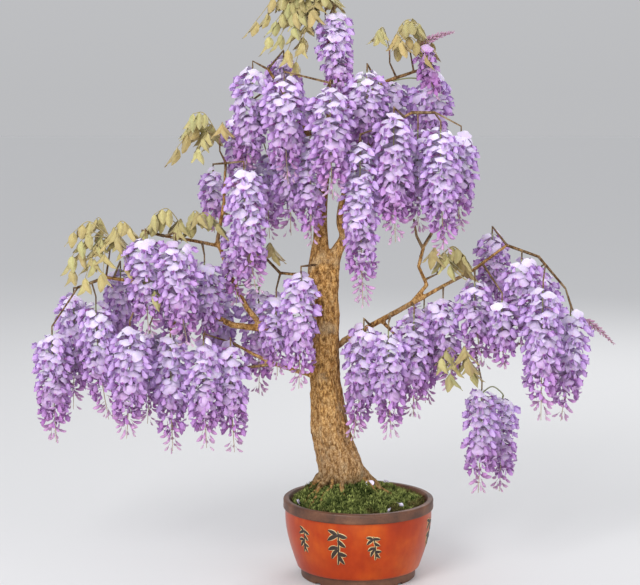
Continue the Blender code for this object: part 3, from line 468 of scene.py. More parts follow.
def bud_template():
    """A closed bud, curved a little upwards, on its stalk."""
    shape = Shape()
    path = [(0, 0.000, 0), (0, 0.0028, -0.0006), (0, 0.0068, -0.0006), (0, 0.0108, 0.0004)]
    path.append((0, BUD_LENGTH, 0.0018))
    points, faces = tube_mesh(path, [0.0016, 0.0032, 0.0037, 0.0028, 0.0008], 7)
    shade = np.clip(points[:, 1] / BUD_LENGTH, 0, 1)
    shape.add(points, faces, mix(MAGENTA, ROSE, 0.25 + 0.75 * shade))
    calyx_shape(shape, 0.007)
    return shape.arrays()


def outer_radius(place, share):
    """A raceme's outer radius at a share of its length."""
    return FLORET_SPREAD * place[5] * np.minimum(1.0, 0.62 + 3.4 * share) * (1 - 0.62 * share**2.2)


def axis_at(place, share):
    _, x, y, z, length, _, swing = place
    return np.stack([x + swing * share**2, np.full_like(share, y), z - length * share], axis=-1)


def turns(azimuth, pitch, roll):
    """Rotations that carry +Y to an outward heading, then pitch it up or down and roll it."""
    cos_a, sin_a = np.cos(azimuth), np.sin(azimuth)
    cos_p, sin_p = np.cos(pitch), np.sin(pitch)
    cos_r, sin_r = np.cos(roll), np.sin(roll)
    zero, one = np.zeros_like(azimuth), np.ones_like(azimuth)
    spin = np.stack([sin_a, cos_a, zero, -cos_a, sin_a, zero, zero, zero, one], axis=-1).reshape(-1, 3, 3)
    tilt = np.stack([one, zero, zero, zero, cos_p, -sin_p, zero, sin_p, cos_p], axis=-1).reshape(-1, 3, 3)
    lean = np.stack([cos_r, zero, sin_r, zero, one, zero, -sin_r, zero, cos_r], axis=-1).reshape(-1, 3, 3)
    return spin @ tilt @ lean


def scatter(shape, template, places, rotations, sizes, tones, shades, target=LATE):
    """Copies of a template, each placed, turned, sized, shifted towards a colour and shaded."""
    points, faces, tints, uvs = template
    moved = np.einsum("nij,mj->nmi", rotations, points) * sizes[:, None, None] + places[:, None, :]
    tones = tones[:, None] * np.ones(len(points))
    colour = mix(tints[None], np.asarray(target)[None, None], tones) * shades[:, None, None]
    colour = np.clip(colour, 0, 1).reshape(-1, 3)
    offsets = (np.arange(len(places)) * len(points))[:, None, None]
    all_faces = (faces[None] + offsets).reshape(-1, 3)
    shape.add(moved.reshape(-1, 3), all_faces, colour, np.tile(uvs, (len(places), 1)))


def raceme_florets(shape, place, templates):
    """Florets in a spiral from the stalk down: open above, opening below them, and buds at the tip."""
    open_floret, opening_floret, bud = templates
    length = place[4]
    draw = np.random.default_rng(abs(hash_of(place)))
    count = int(length / FLORET_STEP * place[5] / USUAL_RADIUS)
    order = (np.arange(count) + 0.5) / count
    share = 0.03 + 0.95 * order ** 0.95
    azimuth = GOLDEN_ANGLE * np.arange(count) + draw.uniform(0, math.tau) + draw.normal(0, 0.14, count)
    radius = outer_radius(place, share)
    centre = axis_at(place, share)
    kept = (share < HALF_OPEN_SHARE) | (draw.uniform(0, 1, count) < BUD_KEEP)
    bloom = 0.5 if length < YOUNG_LENGTH else draw.uniform(0.0, 0.14)
    for template, chosen, reach in (
        (open_floret, share < OPEN_SHARE, OPEN_REACH),
        (opening_floret, (share >= OPEN_SHARE) & (share < HALF_OPEN_SHARE), OPEN_REACH),
        (bud, (share >= HALF_OPEN_SHARE) & kept, BUD_REACH),
    ):
        number = int(chosen.sum())
        if not number:
            continue
        size = draw.uniform(0.80, 1.14, number)
        late = np.clip((share[chosen] - HALF_OPEN_SHARE) / (1 - HALF_OPEN_SHARE), 0, 1)
        if template is bud:
            size *= 1.05 - 0.62 * late
        if template is opening_floret:
            size *= 0.92
        heading = azimuth[chosen]
        out = np.maximum(0.004, radius[chosen] - reach * size) * draw.uniform(0.78, 1.06, number)
        flat = np.stack([np.cos(heading), np.sin(heading), np.zeros(number)], axis=-1)
        spot = centre[chosen] + flat * out[:, None]
        spot[:, 2] -= 0.004 * draw.uniform(-0.6, 1.4, number)
        droop = 0.10 - 1.0 * np.clip(share[chosen] - 0.35, 0, 1) - 0.35 * late
        yaw, pitch, roll = (draw.normal(0, spread, number) for spread in (0.25, 0.22, 0.25))
        rotation = turns(heading + yaw, droop + pitch, roll)
        tone = np.clip(1.10 * share[chosen] ** 2.0 + bloom + draw.normal(0, 0.08, number), 0, 0.85)
        if template is bud:
            tone = 0.75 * late
        shade = draw.uniform(0.88, 1.08, number)
        scatter(shape, template, spot, rotation, size, tone, shade, PALE_BUD if template is bud else LATE)


def hash_of(place):
    """A whole number from a raceme's place, the same on each run."""
    steps = (7919, 6007, 4013, 2003, 1009, 503)
    return int(sum(abs(value) * step for value, step in zip(place[1:], steps)) * 1000)


def raceme_stem(shape, place):
    share = np.linspace(0, 1, 12)
    path = axis_at(place, share)
    path[0, 2] += 0.0012
    radii = np.interp(share, [0, 0.1, 0.7, 1], [STALK_RADIUS, 0.0014, 0.0010, 0.0005])
    points, faces = tube_mesh(path, radii, 5)
    shade = np.clip((path[0, 2] - points[:, 2]) / place[4], 0, 1)
    shape.add(points, faces, mix(STEM_GREEN, TAIL_STEM, shade))


def fork_stalk(shape, first, second):
    """The stalk that arches from one raceme's top over to its neighbour's."""
    start = np.array(first[1:4]) - (0, 0, 0.006)
    end = np.array(second[1:4]) - (0, 0, 0.004)
    middle = (start + end) / 2
    middle[2] = max(start[2], end[2]) + 0.006
    over = np.array(second[1:4]) + (0, 0, 0.004)
    path = smooth_path([start, middle, over, end], 5)
    shape.add(*tube_mesh(path, np.full(len(path), STALK_RADIUS), 5), STEM_GREEN)


def make_racemes():
    petals = petal_material()
    templates = (floret_template(0.0, 0.009), floret_template(1.0, 0.008), bud_template())
    groups = {}
    for place in RACEMES:
        groups.setdefault(place[0], []).append(place)
    for name, group in groups.items():
        shape = Shape()
        for place in group:
            raceme_stem(shape, place)
            raceme_florets(shape, place, templates)
        for second in group[1:]:
            fork_stalk(shape, group[0], second)
        dress(shape.build(name.replace("raceme", "blossom"), petals), name)


# Leafy shoots: node, the spur's x, y and z, then each compound leaf's reach in x, y and z and its
# number of leaflets
LEAF_SHOOTS = [
    ("leaves_crown_top", (-0.060, 0.000, 1.010), [
        (-0.060, -0.020, 0.030, 7), (-0.100, 0.010, -0.020, 7), (0.010, -0.015, 0.048, 5),
        (0.020, 0.020, 0.010, 7), (-0.035, 0.045, 0.030, 7)]),
    ("leaves_crown_right", (0.052, -0.010, 0.930), [
        (0.050, -0.020, 0.040, 5), (0.075, 0.030, 0.010, 5), (-0.020, -0.040, 0.030, 5)]),
    ("leaves_left_upper", (-0.246, 0.010, 0.776), [
        (-0.045, -0.020, 0.040, 7), (-0.030, 0.030, 0.010, 7), (-0.075, 0.000, -0.020, 7)]),
    ("leaves_left_lobe", (-0.440, -0.010, 0.600), [
        (-0.060, -0.020, 0.010, 7), (0.040, -0.030, 0.020, 5), (-0.035, 0.045, 0.020, 5)]),
    ("leaves_right_inner", (0.138, -0.010, 0.560), [
        (0.045, -0.030, 0.010, 7), (-0.010, -0.040, 0.020, 5), (0.050, 0.030, 0.000, 5)]),
    ("leaves_right_low", (0.178, -0.020, 0.386), [
        (-0.034, -0.040, 0.006, 5), (0.010, -0.060, 0.008, 5)]),
]
LEAFLET_LENGTH = 0.040
LEAFLET_WIDTH = 0.017
PAIR_STEP = 0.26
OLIVE = (0.58, 0.54, 0.24)
FRESH = (0.52, 0.58, 0.27)
BRONZE = (0.52, 0.30, 0.12)

# Bud spikes: node, spur x, y and z, and the way to the tip
BUD_SPIKES = [
    ("bud_spike_crown", (0.100, -0.006, 0.944), (0.062, -0.010, 0.024)),
    ("bud_spike_right", (0.392, 0.004, 0.470), (0.062, -0.004, -0.050)),
]
SPIKE_BUDS = 46
SPIKE_ARCH = np.array((0, 0, 0.004))
SPIKE_TINT = (0.46, 0.29, 0.27)


def leaf_material():
    """Young leaves: a pale rib, slanting side veins and a bronze mottling."""
    made, tree, shader = material("young leaf", 0.42)
    tint = tint_of(tree)
    along = tree.nodes.new("ShaderNodeUVMap")
    split = tree.nodes.new("ShaderNodeSeparateXYZ")
    tree.links.new(along.outputs["UV"], split.inputs[0])
    away = maths(tree, "ABSOLUTE", maths(tree, "SUBTRACT", split.outputs["X"], 0.5))
    rib = ramp(tree, away, [(0.02, (0.72, 0.66, 0.34)), (0.06, WHITE)])
    slant = maths(tree, "MULTIPLY_ADD", away, -0.7, split.outputs["Y"])
    sine = maths(tree, "SINE", maths(tree, "MULTIPLY", slant, 58))
    veins = ramp(tree, sine, [(0.86, WHITE), (0.97, (0.74, 0.80, 0.52))])
    base = blended(tree, "MULTIPLY", 0.55, tint, veins)
    base = blended(tree, "MULTIPLY", 0.35, base, rib)
    mottle = noise_of(tree, place(tree), 160, 4.0)
    base = stained(tree, base, 0.35, mottle, 0.35, 0.62, (0.72, 0.62, 0.45))
    tree.links.new(base, shader.inputs["Base Color"])
    shader.inputs["Specular IOR Level"].default_value = 0.4
    shader.inputs["Sheen Weight"].default_value = 0.2
    bump(tree, shader, sine, 0.25, 0.0006)
    return made


def leaflet(shape, base, tip, side_way, width, tint, draw):
    """A wavy pointed leaflet, folded a little along its rib and curved down at the tip."""
    base, tip = Vector(base), Vector(tip)
    along = tip - base
    length = along.length
    along.normalize()
    across = along.cross(Vector(side_way)).normalized()
    up = across.cross(along).normalized()
    columns, rows = 7, 12
    wave = draw.uniform(0, math.tau)
    fold = draw.uniform(0.35, 0.85)
    curl = draw.uniform(0.05, 0.22)
    points, uvs, tints = [], [], []
    for row in range(rows):
        v = row / (rows - 1)
        half = width / 2 * (math.sin(math.pi * v**0.78) ** 0.75 + 0.015) * (1 - 0.25 * v)
        for column in range(columns):
            u = 2 * column / (columns - 1) - 1
            fine = 0.0006 * math.sin(17 * v + 2 * wave) * abs(u)
            ripple = 0.0010 * math.sin(9 * v + wave) * u * abs(u) + fine
            lift = fold * half * abs(u) + ripple - curl * length * v * v * 0.35
            points.append(base + along * (length * v) + across * (u * half) + up * lift)
            uvs.append((column / (columns - 1), v))
            shade = 0.82 + 0.25 * (1 - abs(u)) * (1 - v)
            tints.append([min(1, channel * shade) for channel in mix(tint, BRONZE, 0.35 * abs(u) * v)])
    shape.add([tuple(point) for point in points], grid_faces(columns, rows), tints, uvs)


# Further compound leaves on the shoots, and shoots of their own on the boughs
MORE_LEAVES = {
    "leaves_crown_top": [
        (-0.050, -0.035, -0.020, 7), (-0.085, -0.025, -0.035, 7), (-0.020, -0.050, -0.015, 7),
        (-0.070, -0.010, 0.010, 7),
        (-0.030, -0.030, 0.030, 7), (0.000, -0.045, 0.015, 7), (-0.052, -0.045, -0.045, 7),
        (-0.096, -0.030, -0.062, 7), (-0.064, -0.048, -0.084, 7), (-0.120, -0.012, -0.034, 5),
        (-0.040, -0.056, -0.072, 7),
        (-0.076, -0.040, -0.058, 7), (-0.050, -0.040, -0.104, 7)],
    "leaves_crown_right": [(0.060, -0.030, -0.010, 7), (0.020, -0.045, 0.010, 5), (0.040, 0.000, 0.050, 5)],
    "leaves_left_upper": [(-0.035, -0.040, -0.020, 7), (0.010, -0.035, 0.020, 5), (-0.055, 0.020, 0.020, 5)],
    "leaves_left_lobe": [
        (-0.020, -0.050, -0.035, 7), (0.035, -0.050, -0.040, 7), (-0.060, -0.040, -0.030, 7),
        (0.020, -0.040, 0.005, 7),
        (-0.035, -0.062, -0.066, 7), (-0.004, -0.066, -0.056, 5), (-0.058, -0.052, -0.052, 5)],
    "leaves_right_inner": [(0.020, -0.045, -0.005, 7), (0.050, -0.010, -0.010, 5)],
    "leaves_right_low": [(-0.020, -0.055, -0.020, 5), (0.020, -0.045, -0.015, 5)],
}
BOUGH_SHOOTS = [
    ("leaf_tuft_left_bough", (-0.300, 0.000, 0.660), [
        (-0.050, -0.030, 0.030, 7), (0.030, -0.035, 0.030, 7), (-0.070, -0.020, 0.000, 7),
        (0.060, -0.025, 0.015, 7), (-0.010, -0.040, 0.010, 7)]),
    ("leaf_tuft_left_inner", (-0.170, -0.005, 0.600), [
        (-0.020, -0.040, 0.005, 7), (0.020, -0.035, 0.000, 5)]),
    ("leaf_tuft_left_low", (-0.390, -0.010, 0.530), [(0.030, -0.060, -0.005, 7), (0.050, -0.055, -0.020, 5)]),
]


def compound_leaves(shape, crown, leaves, seed):
    """Compound leaves round a shoot's crown, their leaflets hanging in pairs along arching stalks."""
    draw, look = random.Random(seed), random.Random(seed + " looks")
    root = crown - Vector((0, 0, 0.003))
    for x, y, z, leaflets in leaves:
        flat = Vector((x, y, 0)).normalized()
        end = crown + Vector((x, y, z))
        middle = crown + Vector((x, y, z)) * 0.55 + Vector((0, 0, 0.35 * Vector((x, y, 0)).length))
        stalk = smooth_path([root, middle, end], 7)
        shape.add(*tube_mesh(stalk, np.linspace(0.0010, 0.0006, len(stalk)), 5), mix(STEM_GREEN, BRONZE, 0.4))
        tint = mix(mix(OLIVE, FRESH, look.uniform(0, 0.8)), BRONZE, look.uniform(0.0, 0.45))
        for number in range(leaflets):
            share = 1 - (number // 2) * PAIR_STEP
            base = Vector(stalk[int(round(share * (len(stalk) - 1)))])
            side = 0 if number == 0 else (1 if number % 2 else -1)
            across = Vector((-flat.y, flat.x, 0)) * side
            hang = flat * (0.55 if number == 0 else 0.25) + across * 0.62
            hang = hang - Vector((0, 0, draw.uniform(0.7, 1.1)))
            tip = base + hang.normalized() * LEAFLET_LENGTH * draw.uniform(0.75, 1.05)
            own = mix(tint, BRONZE, look.uniform(0, 0.3)) * look.uniform(0.85, 1.15)
            width = LEAFLET_WIDTH * look.uniform(0.85, 1.15)
            leaflet(shape, base, tip, -across - flat * 0.3, width, own, look)


def shoot_stem(shape, root, crown):
    stem = smooth_path([root, crown, crown + Vector((0, 0, 0.004))], 4)
    shape.add(*tube_mesh(stem, np.linspace(0.0016, 0.0010, len(stem)), 6), STEM_PINK)


def make_leaf_shoots():
    leaf = leaf_material()
    for name, spur, leaves in LEAF_SHOOTS:
        shape = Shape()
        spur = Vector(spur)
        crown = spur + Vector((0, 0, 0.012))
        shoot_stem(shape, spur - Vector((0, 0, 0.001)), crown)
        compound_leaves(shape, crown, leaves, name)
        compound_leaves(shape, crown, MORE_LEAVES[name], name + " more")
        dress(shape.build(name.replace("leaves", "leaf_shoot"), leaf), name)
    wood = bpy.data.objects["wood"]
    for name, spot, leaves in BOUGH_SHOOTS:
        _, near, normal, _ = wood.closest_point_on_mesh(Vector(spot))
        crown = near + normal * 0.008 + Vector((0, 0, 0.008))
        shape = Shape()
        shoot_stem(shape, near - normal * 0.001, crown)
        compound_leaves(shape, crown, leaves, name)
        dress(shape.build(name, leaf))


def make_bud_spikes():
    """Closed buds in a spiral round a short arched stem, smaller to the tip."""
    petals = bpy.data.materials["petals"]
    bud = bud_template()
    for name, spur, way in BUD_SPIKES:
        shape = Shape()
        spur, way = np.array(spur), np.array(way)
        along = way / np.linalg.norm(way)
        stem = np.linspace(0, 1, 8)
        path = [spur - along * 0.001 + way * share + SPIKE_ARCH * math.sin(math.pi * share) for share in stem]
        shape.add(*tube_mesh(path, np.linspace(0.0015, 0.0006, 8), 6), STEM_PINK)
        draw = np.random.default_rng(SEED + len(name))
        share = 0.16 + 0.84 * (np.arange(SPIKE_BUDS) + 0.5) / SPIKE_BUDS
        angle = GOLDEN_ANGLE * np.arange(SPIKE_BUDS)
        side = np.cross(along, (0, 0, 1.0))
        side /= np.linalg.norm(side)
        up = np.cross(side, along)
        spots = spur + way * share[:, None] + SPIKE_ARCH * np.sin(math.pi * share)[:, None]
        out = np.cos(angle)[:, None] * side + np.sin(angle)[:, None] * up
        lean = out * 0.75 + along * (0.55 + 0.8 * share)[:, None]
        lean /= np.linalg.norm(lean, axis=1)[:, None]
        cross = np.cross(lean, np.array((0.1, 0.2, 1.0)))
        cross /= np.linalg.norm(cross, axis=1)[:, None]
        top = np.cross(cross, lean)
        rotation = np.stack([cross, lean, top], axis=-1)
        size = (0.62 - 0.42 * share) * draw.uniform(0.9, 1.1, SPIKE_BUDS)
        spots = spots + lean * (0.009 * size)[:, None]
        points, faces, tints, uvs = bud
        dusty = (points, faces, mix(tints, SPIKE_TINT, 0.6), uvs)
        shade = draw.uniform(0.8, 1.1, SPIKE_BUDS)
        scatter(shape, dusty, spots, rotation, size, np.zeros(SPIKE_BUDS), shade)
        dress(shape.build(name.replace("bud_spike", "buds"), petals), name)


# Trunk axis: x, y, z and radius, from the soil to the fork
TRUNK_AXIS = [
    (-0.024, 0.0, 0.110, 0.028),
    (-0.024, 0.0, 0.165, 0.036),
    (-0.026, 0.0, 0.186, 0.042),
    (-0.030, 0.0, 0.206, 0.039),
    (-0.040, 0.0, 0.235, 0.036),
    (-0.050, 0.0, 0.270, 0.034),
    (-0.056, 0.0, 0.320, 0.0295),
    (-0.062, 0.0, 0.370, 0.027),
    (-0.061, 0.0, 0.410, 0.0245),
    (-0.060, 0.0, 0.446, 0.0235),
    (-0.062, 0.0, 0.500, 0.025),
    (-0.063, 0.0, 0.545, 0.027),
    (-0.063, 0.0, 0.572, 0.021),
]
TWIG_BARK = (0.30, 0.21, 0.12)
GOLD_BARK = (0.76, 0.47, 0.18)
LOW_BARK = (0.42, 0.29, 0.19)
DARK_BARK = (0.19, 0.12, 0.065)
HIGH_BARK = (0.17, 0.11, 0.07)
DAMP_BARK = (0.16, 0.13, 0.08)
LICHEN = (0.56, 0.45, 0.28)
TRUNK_TOP = 0.60
BARK_VOXEL = 0.0021
TWIG_THICKNESS = 0.0055
TWIG_SCRAP = 10


def bark_material():
    """Bark: dark furrows, a fine grain, a few pits and patches of pale lichen."""
    made, tree, shader = material("furrowed bark", 0.86)
    tint = tint_of(tree)
    streaks = noise_of(tree, place(tree, (1, 1, 0.55)), 210, 7.0, 0.70)
    grains = noise_of(tree, place(tree, (1, 1, 0.7)), 480, 5.0, 0.6)
    patches = noise_of(tree, place(tree), 26, 3.0)
    tone = ramp(tree, streaks, [(0.41, (0.22, 0.13, 0.06)), (0.49, (0.74, 0.62, 0.42)), (0.55, WHITE)])
    base = blended(tree, "MULTIPLY", 0.85, tint, tone)
    lichen = ramp(tree, patches, [(0.56, BLACK), (0.70, WHITE)])
    pale = blended(tree, "MIX", 0.5, base, LICHEN)
    base = blended(tree, "MIX", lichen, base, pale)
    base = stained(tree, base, 0.7, grains, 0.42, 0.56, (0.42, 0.32, 0.22))
    pits = noise_of(tree, place(tree, (1, 1, 0.8)), 95, 3.0)
    base = stained(tree, base, 0.6, pits, 0.30, 0.38, (0.30, 0.20, 0.12))
    tree.links.new(base, shader.inputs["Base Color"])
    shader.inputs["Specular IOR Level"].default_value = 0.2
    height = blended(tree, "MIX", 0.4, streaks, grains)
    bump(tree, shader, height, 0.7, 0.0012)
    return made


# Where the trunk's top eases into its two stems: x, y, z and radius
SHOULDERS = [
    [(-0.063, 0.0, 0.530, 0.0262), (-0.065, 0.0, 0.556, 0.0236), (-0.068, 0.0, 0.580, 0.0180),
     (-0.068, 0.001, 0.606, 0.0140),
     (-0.067, 0.006, 0.655, 0.0110), (-0.060, 0.012, 0.730, 0.0090), (-0.054, 0.012, 0.800, 0.0075)],
    [(-0.056, -0.004, 0.530, 0.0200), (-0.050, -0.007, 0.560, 0.0165), (-0.040, -0.008, 0.585, 0.0115),
     (-0.027, -0.010, 0.612, 0.0085),
     (-0.034, -0.014, 0.640, 0.0070), (-0.030, -0.020, 0.680, 0.0058)],
]


def islands_of(shape):
    """The vertices of each connected body of a bmesh, the smallest body first."""
    left = dict.fromkeys(shape.verts)
    islands = []
    while left:
        edge = [left.popitem()[0]]
        island = []
        while edge:
            vert = edge.pop()
            island.append(vert)
            for link in vert.link_edges:
                other = link.other_vert(vert)
                if other in left:
                    del left[other]
                    edge.append(other)
        islands.append(island)
    return sorted(islands, key=len)


def keep_largest_island(mesh):
    shape = bmesh.new()
    shape.from_mesh(mesh)
    for island in islands_of(shape)[:-1]:
        bmesh.ops.delete(shape, geom=island, context="VERTS")
    shape.to_mesh(mesh)
    shape.free()


def make_twigs():
    """The thin twigs, from the wood's own faces where it is thinner than the skin can follow."""
    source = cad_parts["tree"].data
    shape = bmesh.new()
    shape.from_mesh(source)
    bmesh.ops.remove_doubles(shape, verts=shape.verts, dist=1e-6)
    bmesh.ops.triangulate(shape, faces=shape.faces)
    tree = BVHTree.FromBMesh(shape)
    thick = []
    for face in shape.faces:
        start = face.calc_center_median() - face.normal * 1e-5
        hit = tree.ray_cast(start, -face.normal, 0.05)
        if hit[0] is None or hit[3] > TWIG_THICKNESS:
            thick.append(face)
    bmesh.ops.delete(shape, geom=thick, context="FACES")
    for island in islands_of(shape):
        if len(island) < TWIG_SCRAP:
            bmesh.ops.delete(shape, geom=island, context="VERTS")
    bmesh.ops.delete(shape, geom=[vert for vert in shape.verts if not vert.link_faces], context="VERTS")
    bmesh.ops.subdivide_edges(shape, edges=shape.edges, cuts=2, use_grid_fill=True)
    mesh = bpy.data.meshes.new("twigs")
    shape.to_mesh(mesh)
    shape.free()
    paint(mesh, TWIG_BARK)
    mesh.materials.append(bpy.data.materials["furrowed bark"])
    mesh.shade_smooth()
    twigs = new_object("twigs", mesh)
    dress(twigs)


def join_shoulders(mesh):
    joined = bmesh.new()
    joined.from_mesh(mesh)
    for rows in SHOULDERS:
        path = smooth_path(rows, 4)
        points, faces = tube_mesh(path[:, :3], path[:, 3], 14)
        made = [joined.verts.new(tuple(point)) for point in points]
        for face in faces:
            joined.faces.new([made[index] for index in face])
    joined.to_mesh(mesh)
    joined.free()


def make_tree():
    """The trunk, roots, branches and twigs as one skin, smoothed and then furrowed."""
    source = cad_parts["tree"]
    wood = new_object("wood", source.data.copy())
    wood.matrix_world = source.matrix_world
    join_shoulders(wood.data)
    wood.data = with_modifier(wood, "REMESH", mode="VOXEL", voxel_size=BARK_VOXEL)
    keep_largest_island(wood.data)
    wood.data = with_modifier(wood, "SMOOTH", factor=0.5, iterations=5)
    mesh = wood.data
    count = len(mesh.vertices)
    points = np.empty(count * 3, np.float32)
    normals = np.empty(count * 3, np.float32)
    mesh.vertices.foreach_get("co", points)
    mesh.vertices.foreach_get("normal", normals)
    points, normals = points.reshape(-1, 3).astype(float), normals.reshape(-1, 3).astype(float)
    heights = np.array([z for *_, z, _ in TRUNK_AXIS])
    centre_x = np.interp(points[:, 2], heights, [x for x, *_ in TRUNK_AXIS])
    trunk_radius = np.interp(points[:, 2], heights, [radius for *_, radius in TRUNK_AXIS])
    offset = np.hypot(points[:, 0] - centre_x, points[:, 1])
    on_trunk = np.clip((1.45 - offset / trunk_radius) / 0.25, 0, 1)
    on_trunk = on_trunk * np.clip((TRUNK_TOP - points[:, 2]) / 0.04, 0, 1)
    angle = np.arctan2(points[:, 1], points[:, 0] - centre_x)
    furrow, broad, fine = np.empty((3, count))
    for index in range(count):
        x, y, z = points[index]
        turn = angle[index] + 1.6 * z
        ring = Vector((math.cos(turn) * 2.6, math.sin(turn) * 2.6, z * 9))
        furrow[index] = noise.ridged_multi_fractal(ring * 1.5, 0.9, 2.1, 4, 1.0, 2.0)
        broad[index] = noise.noise(Vector((math.cos(turn) * 1.1, math.sin(turn) * 1.1, z * 4.2)))
        fine[index] = noise.noise(Vector((x * 230, y * 230, z * 90)))
    furrow = (furrow - furrow.mean()) / (furrow.std() + 1e-9)
    depth = on_trunk * (0.00065 * np.clip(furrow, -2.2, 1.6) + 0.0040 * broad)
    depth = depth + (0.0003 + 0.0009 * on_trunk) * fine
    points = points + normals * depth[:, None]
    mesh.vertices.foreach_set("co", points.astype(np.float32).ravel())
    tone = np.clip(0.74 + 0.08 * furrow * on_trunk + 0.55 * fine, 0, 1)
    colour = mix(DARK_BARK, GOLD_BARK, tone)
    high = np.clip((points[:, 2] - TRUNK_TOP) / 0.2, 0, 1) * (1 - on_trunk)
    colour = mix(colour, HIGH_BARK, 0.55 * high)
    low = on_trunk * np.clip((0.34 - points[:, 2]) / 0.12, 0, 1)
    colour = mix(colour, LOW_BARK, 0.55 * low)
    damp = np.clip((0.205 - points[:, 2]) / 0.03, 0, 1)
    colour = mix(colour, DAMP_BARK, 0.6 * damp)
    paint(mesh, colour)
    mesh.materials.clear()
    mesh.materials.append(bark_material())
    mesh.shade_smooth()
    dress(wood, "tree")


# The pot
POT_HEIGHT = 0.142
RIM_RADIUS = 0.135
RIM_BAND = 0.018
BODY_RADIUS = 0.1315
BODY_FOOT_RADIUS = 0.110
FOOT_RADIUS = 0.103
FOOT_HEIGHT = 0.019
POT_WALL = 0.011
POT_FLOOR = 0.014
POT_SIDES = 144
WALL_ROWS = 24
DRAINS = 4
GLAZE = (0.42, 0.042, 0.001)
CLAY = (0.125, 0.046, 0.020)
PALE_LINE = (0.62, 0.42, 0.20)


def glaze_material():
    """Orange glaze, clouded and specked, with a thin pale line where the foot begins."""
    made, tree, shader = material("orange glaze", 0.34)
    cloud = noise_of(tree, place(tree), 14, 5.0)
    pools = noise_of(tree, place(tree, (1, 1, 0.35)), 60, 4.0)
    specks = noise_of(tree, place(tree), 420, 2.0)
    base = ramp(tree, cloud, [(0.30, (0.34, 0.028, 0.001)), (0.50, GLAZE), (0.74, (0.54, 0.095, 0.004))])
    base = stained(tree, base, 0.35, pools, 0.35, 0.6, (0.60, 0.45, 0.40))
    base = stained(tree, base, 0.5, specks, 0.22, 0.30, (0.25, 0.15, 0.12))
    split = tree.nodes.new("ShaderNodeSeparateXYZ")
    tree.links.new(place(tree), split.inputs[0])
    edges = [(0.0206, BLACK), (0.0210, WHITE), (0.0220, WHITE), (0.0224, BLACK)]
    line = ramp(tree, split.outputs["Z"], edges)
    base = blended(tree, "MIX", line, base, PALE_LINE)
    tree.links.new(base, shader.inputs["Base Color"])
    shader.inputs["Specular IOR Level"].default_value = 0.26
    shader.inputs["Coat Weight"].default_value = 0.10
    shader.inputs["Coat Roughness"].default_value = 0.2
    bump(tree, shader, pools, 0.12, 0.001)
    return made


def clay_material():
    made, tree, shader = material("brown clay", 0.55)
    cloud = noise_of(tree, place(tree), 30, 5.0)
    grain = noise_of(tree, place(tree), 380, 3.0)
    base = ramp(tree, cloud, [(0.32, (0.075, 0.028, 0.013)), (0.52, CLAY), (0.74, (0.20, 0.085, 0.040))])
    base = stained(tree, base, 0.5, grain, 0.3, 0.55, (0.5, 0.45, 0.4))
    tree.links.new(base, shader.inputs["Base Color"])
    shader.inputs["Coat Weight"].default_value = 0.12
    bump(tree, shader, grain, 0.35, 0.0006)
    return made


def body_radius(height):
    """The glazed wall's outer radius at a height."""
    share = min(1, max(0, (height - FOOT_HEIGHT) / (POT_HEIGHT - RIM_BAND - FOOT_HEIGHT)))
    swell = math.sin(math.radians(90 * min(1, share * 1.1)))
    return BODY_FOOT_RADIUS + (BODY_RADIUS - BODY_FOOT_RADIUS) * swell


def pot_rows():
    """The pot's profile, from the underside up and over to the inside: radius, height, 1 for glaze."""
    shoulder = POT_HEIGHT - RIM_BAND
    rows = [(0, 0, 0), (0.03, 0, 0), (0.07, 0, 0)]
    rows += [(FOOT_RADIUS - 0.0022, 0, 0), (FOOT_RADIUS - 0.0006, 0.0006, 0)]
    rows += [(FOOT_RADIUS, 0.0022, 0), (FOOT_RADIUS, 0.010, 0), (FOOT_RADIUS, FOOT_HEIGHT - 0.0024, 0)]
    rows += [(FOOT_RADIUS + 0.001, FOOT_HEIGHT - 0.0010, 0)]
    rows += [(BODY_FOOT_RADIUS - 0.001, FOOT_HEIGHT - 0.0006, 1)]
    for step in range(WALL_ROWS):
        height = FOOT_HEIGHT + 0.0006 + step / (WALL_ROWS - 1) * (shoulder - FOOT_HEIGHT - 0.0006)
        rows.append((body_radius(height), height, 1))
    rows += [(RIM_RADIUS - 0.0010, shoulder + 0.0005, 0), (RIM_RADIUS - 0.0002, shoulder + 0.0014, 0)]
    rows += [(RIM_RADIUS, shoulder + 0.004, 0), (RIM_RADIUS - 0.0004, shoulder + 0.009, 0)]
    rows += [(RIM_RADIUS, POT_HEIGHT - 0.0036, 0), (RIM_RADIUS - 0.0007, POT_HEIGHT - 0.0014, 0)]
    rows += [(RIM_RADIUS - 0.0024, POT_HEIGHT - 0.0002, 0), (RIM_RADIUS - 0.006, POT_HEIGHT, 0)]
    inner = RIM_RADIUS - POT_WALL
    rows += [(inner + 0.0015, POT_HEIGHT - 0.0002, 0), (inner, POT_HEIGHT - 0.0018, 0)]
    rows += [(BODY_RADIUS - POT_WALL, shoulder, 0), (BODY_RADIUS - POT_WALL - 0.003, 0.070, 0)]
    rows += [(BODY_FOOT_RADIUS - POT_WALL, 0.032, 0), (BODY_FOOT_RADIUS - POT_WALL - 0.014, POT_FLOOR, 0)]
    return rows + [(0.05, POT_FLOOR, 0), (0, POT_FLOOR, 0)]


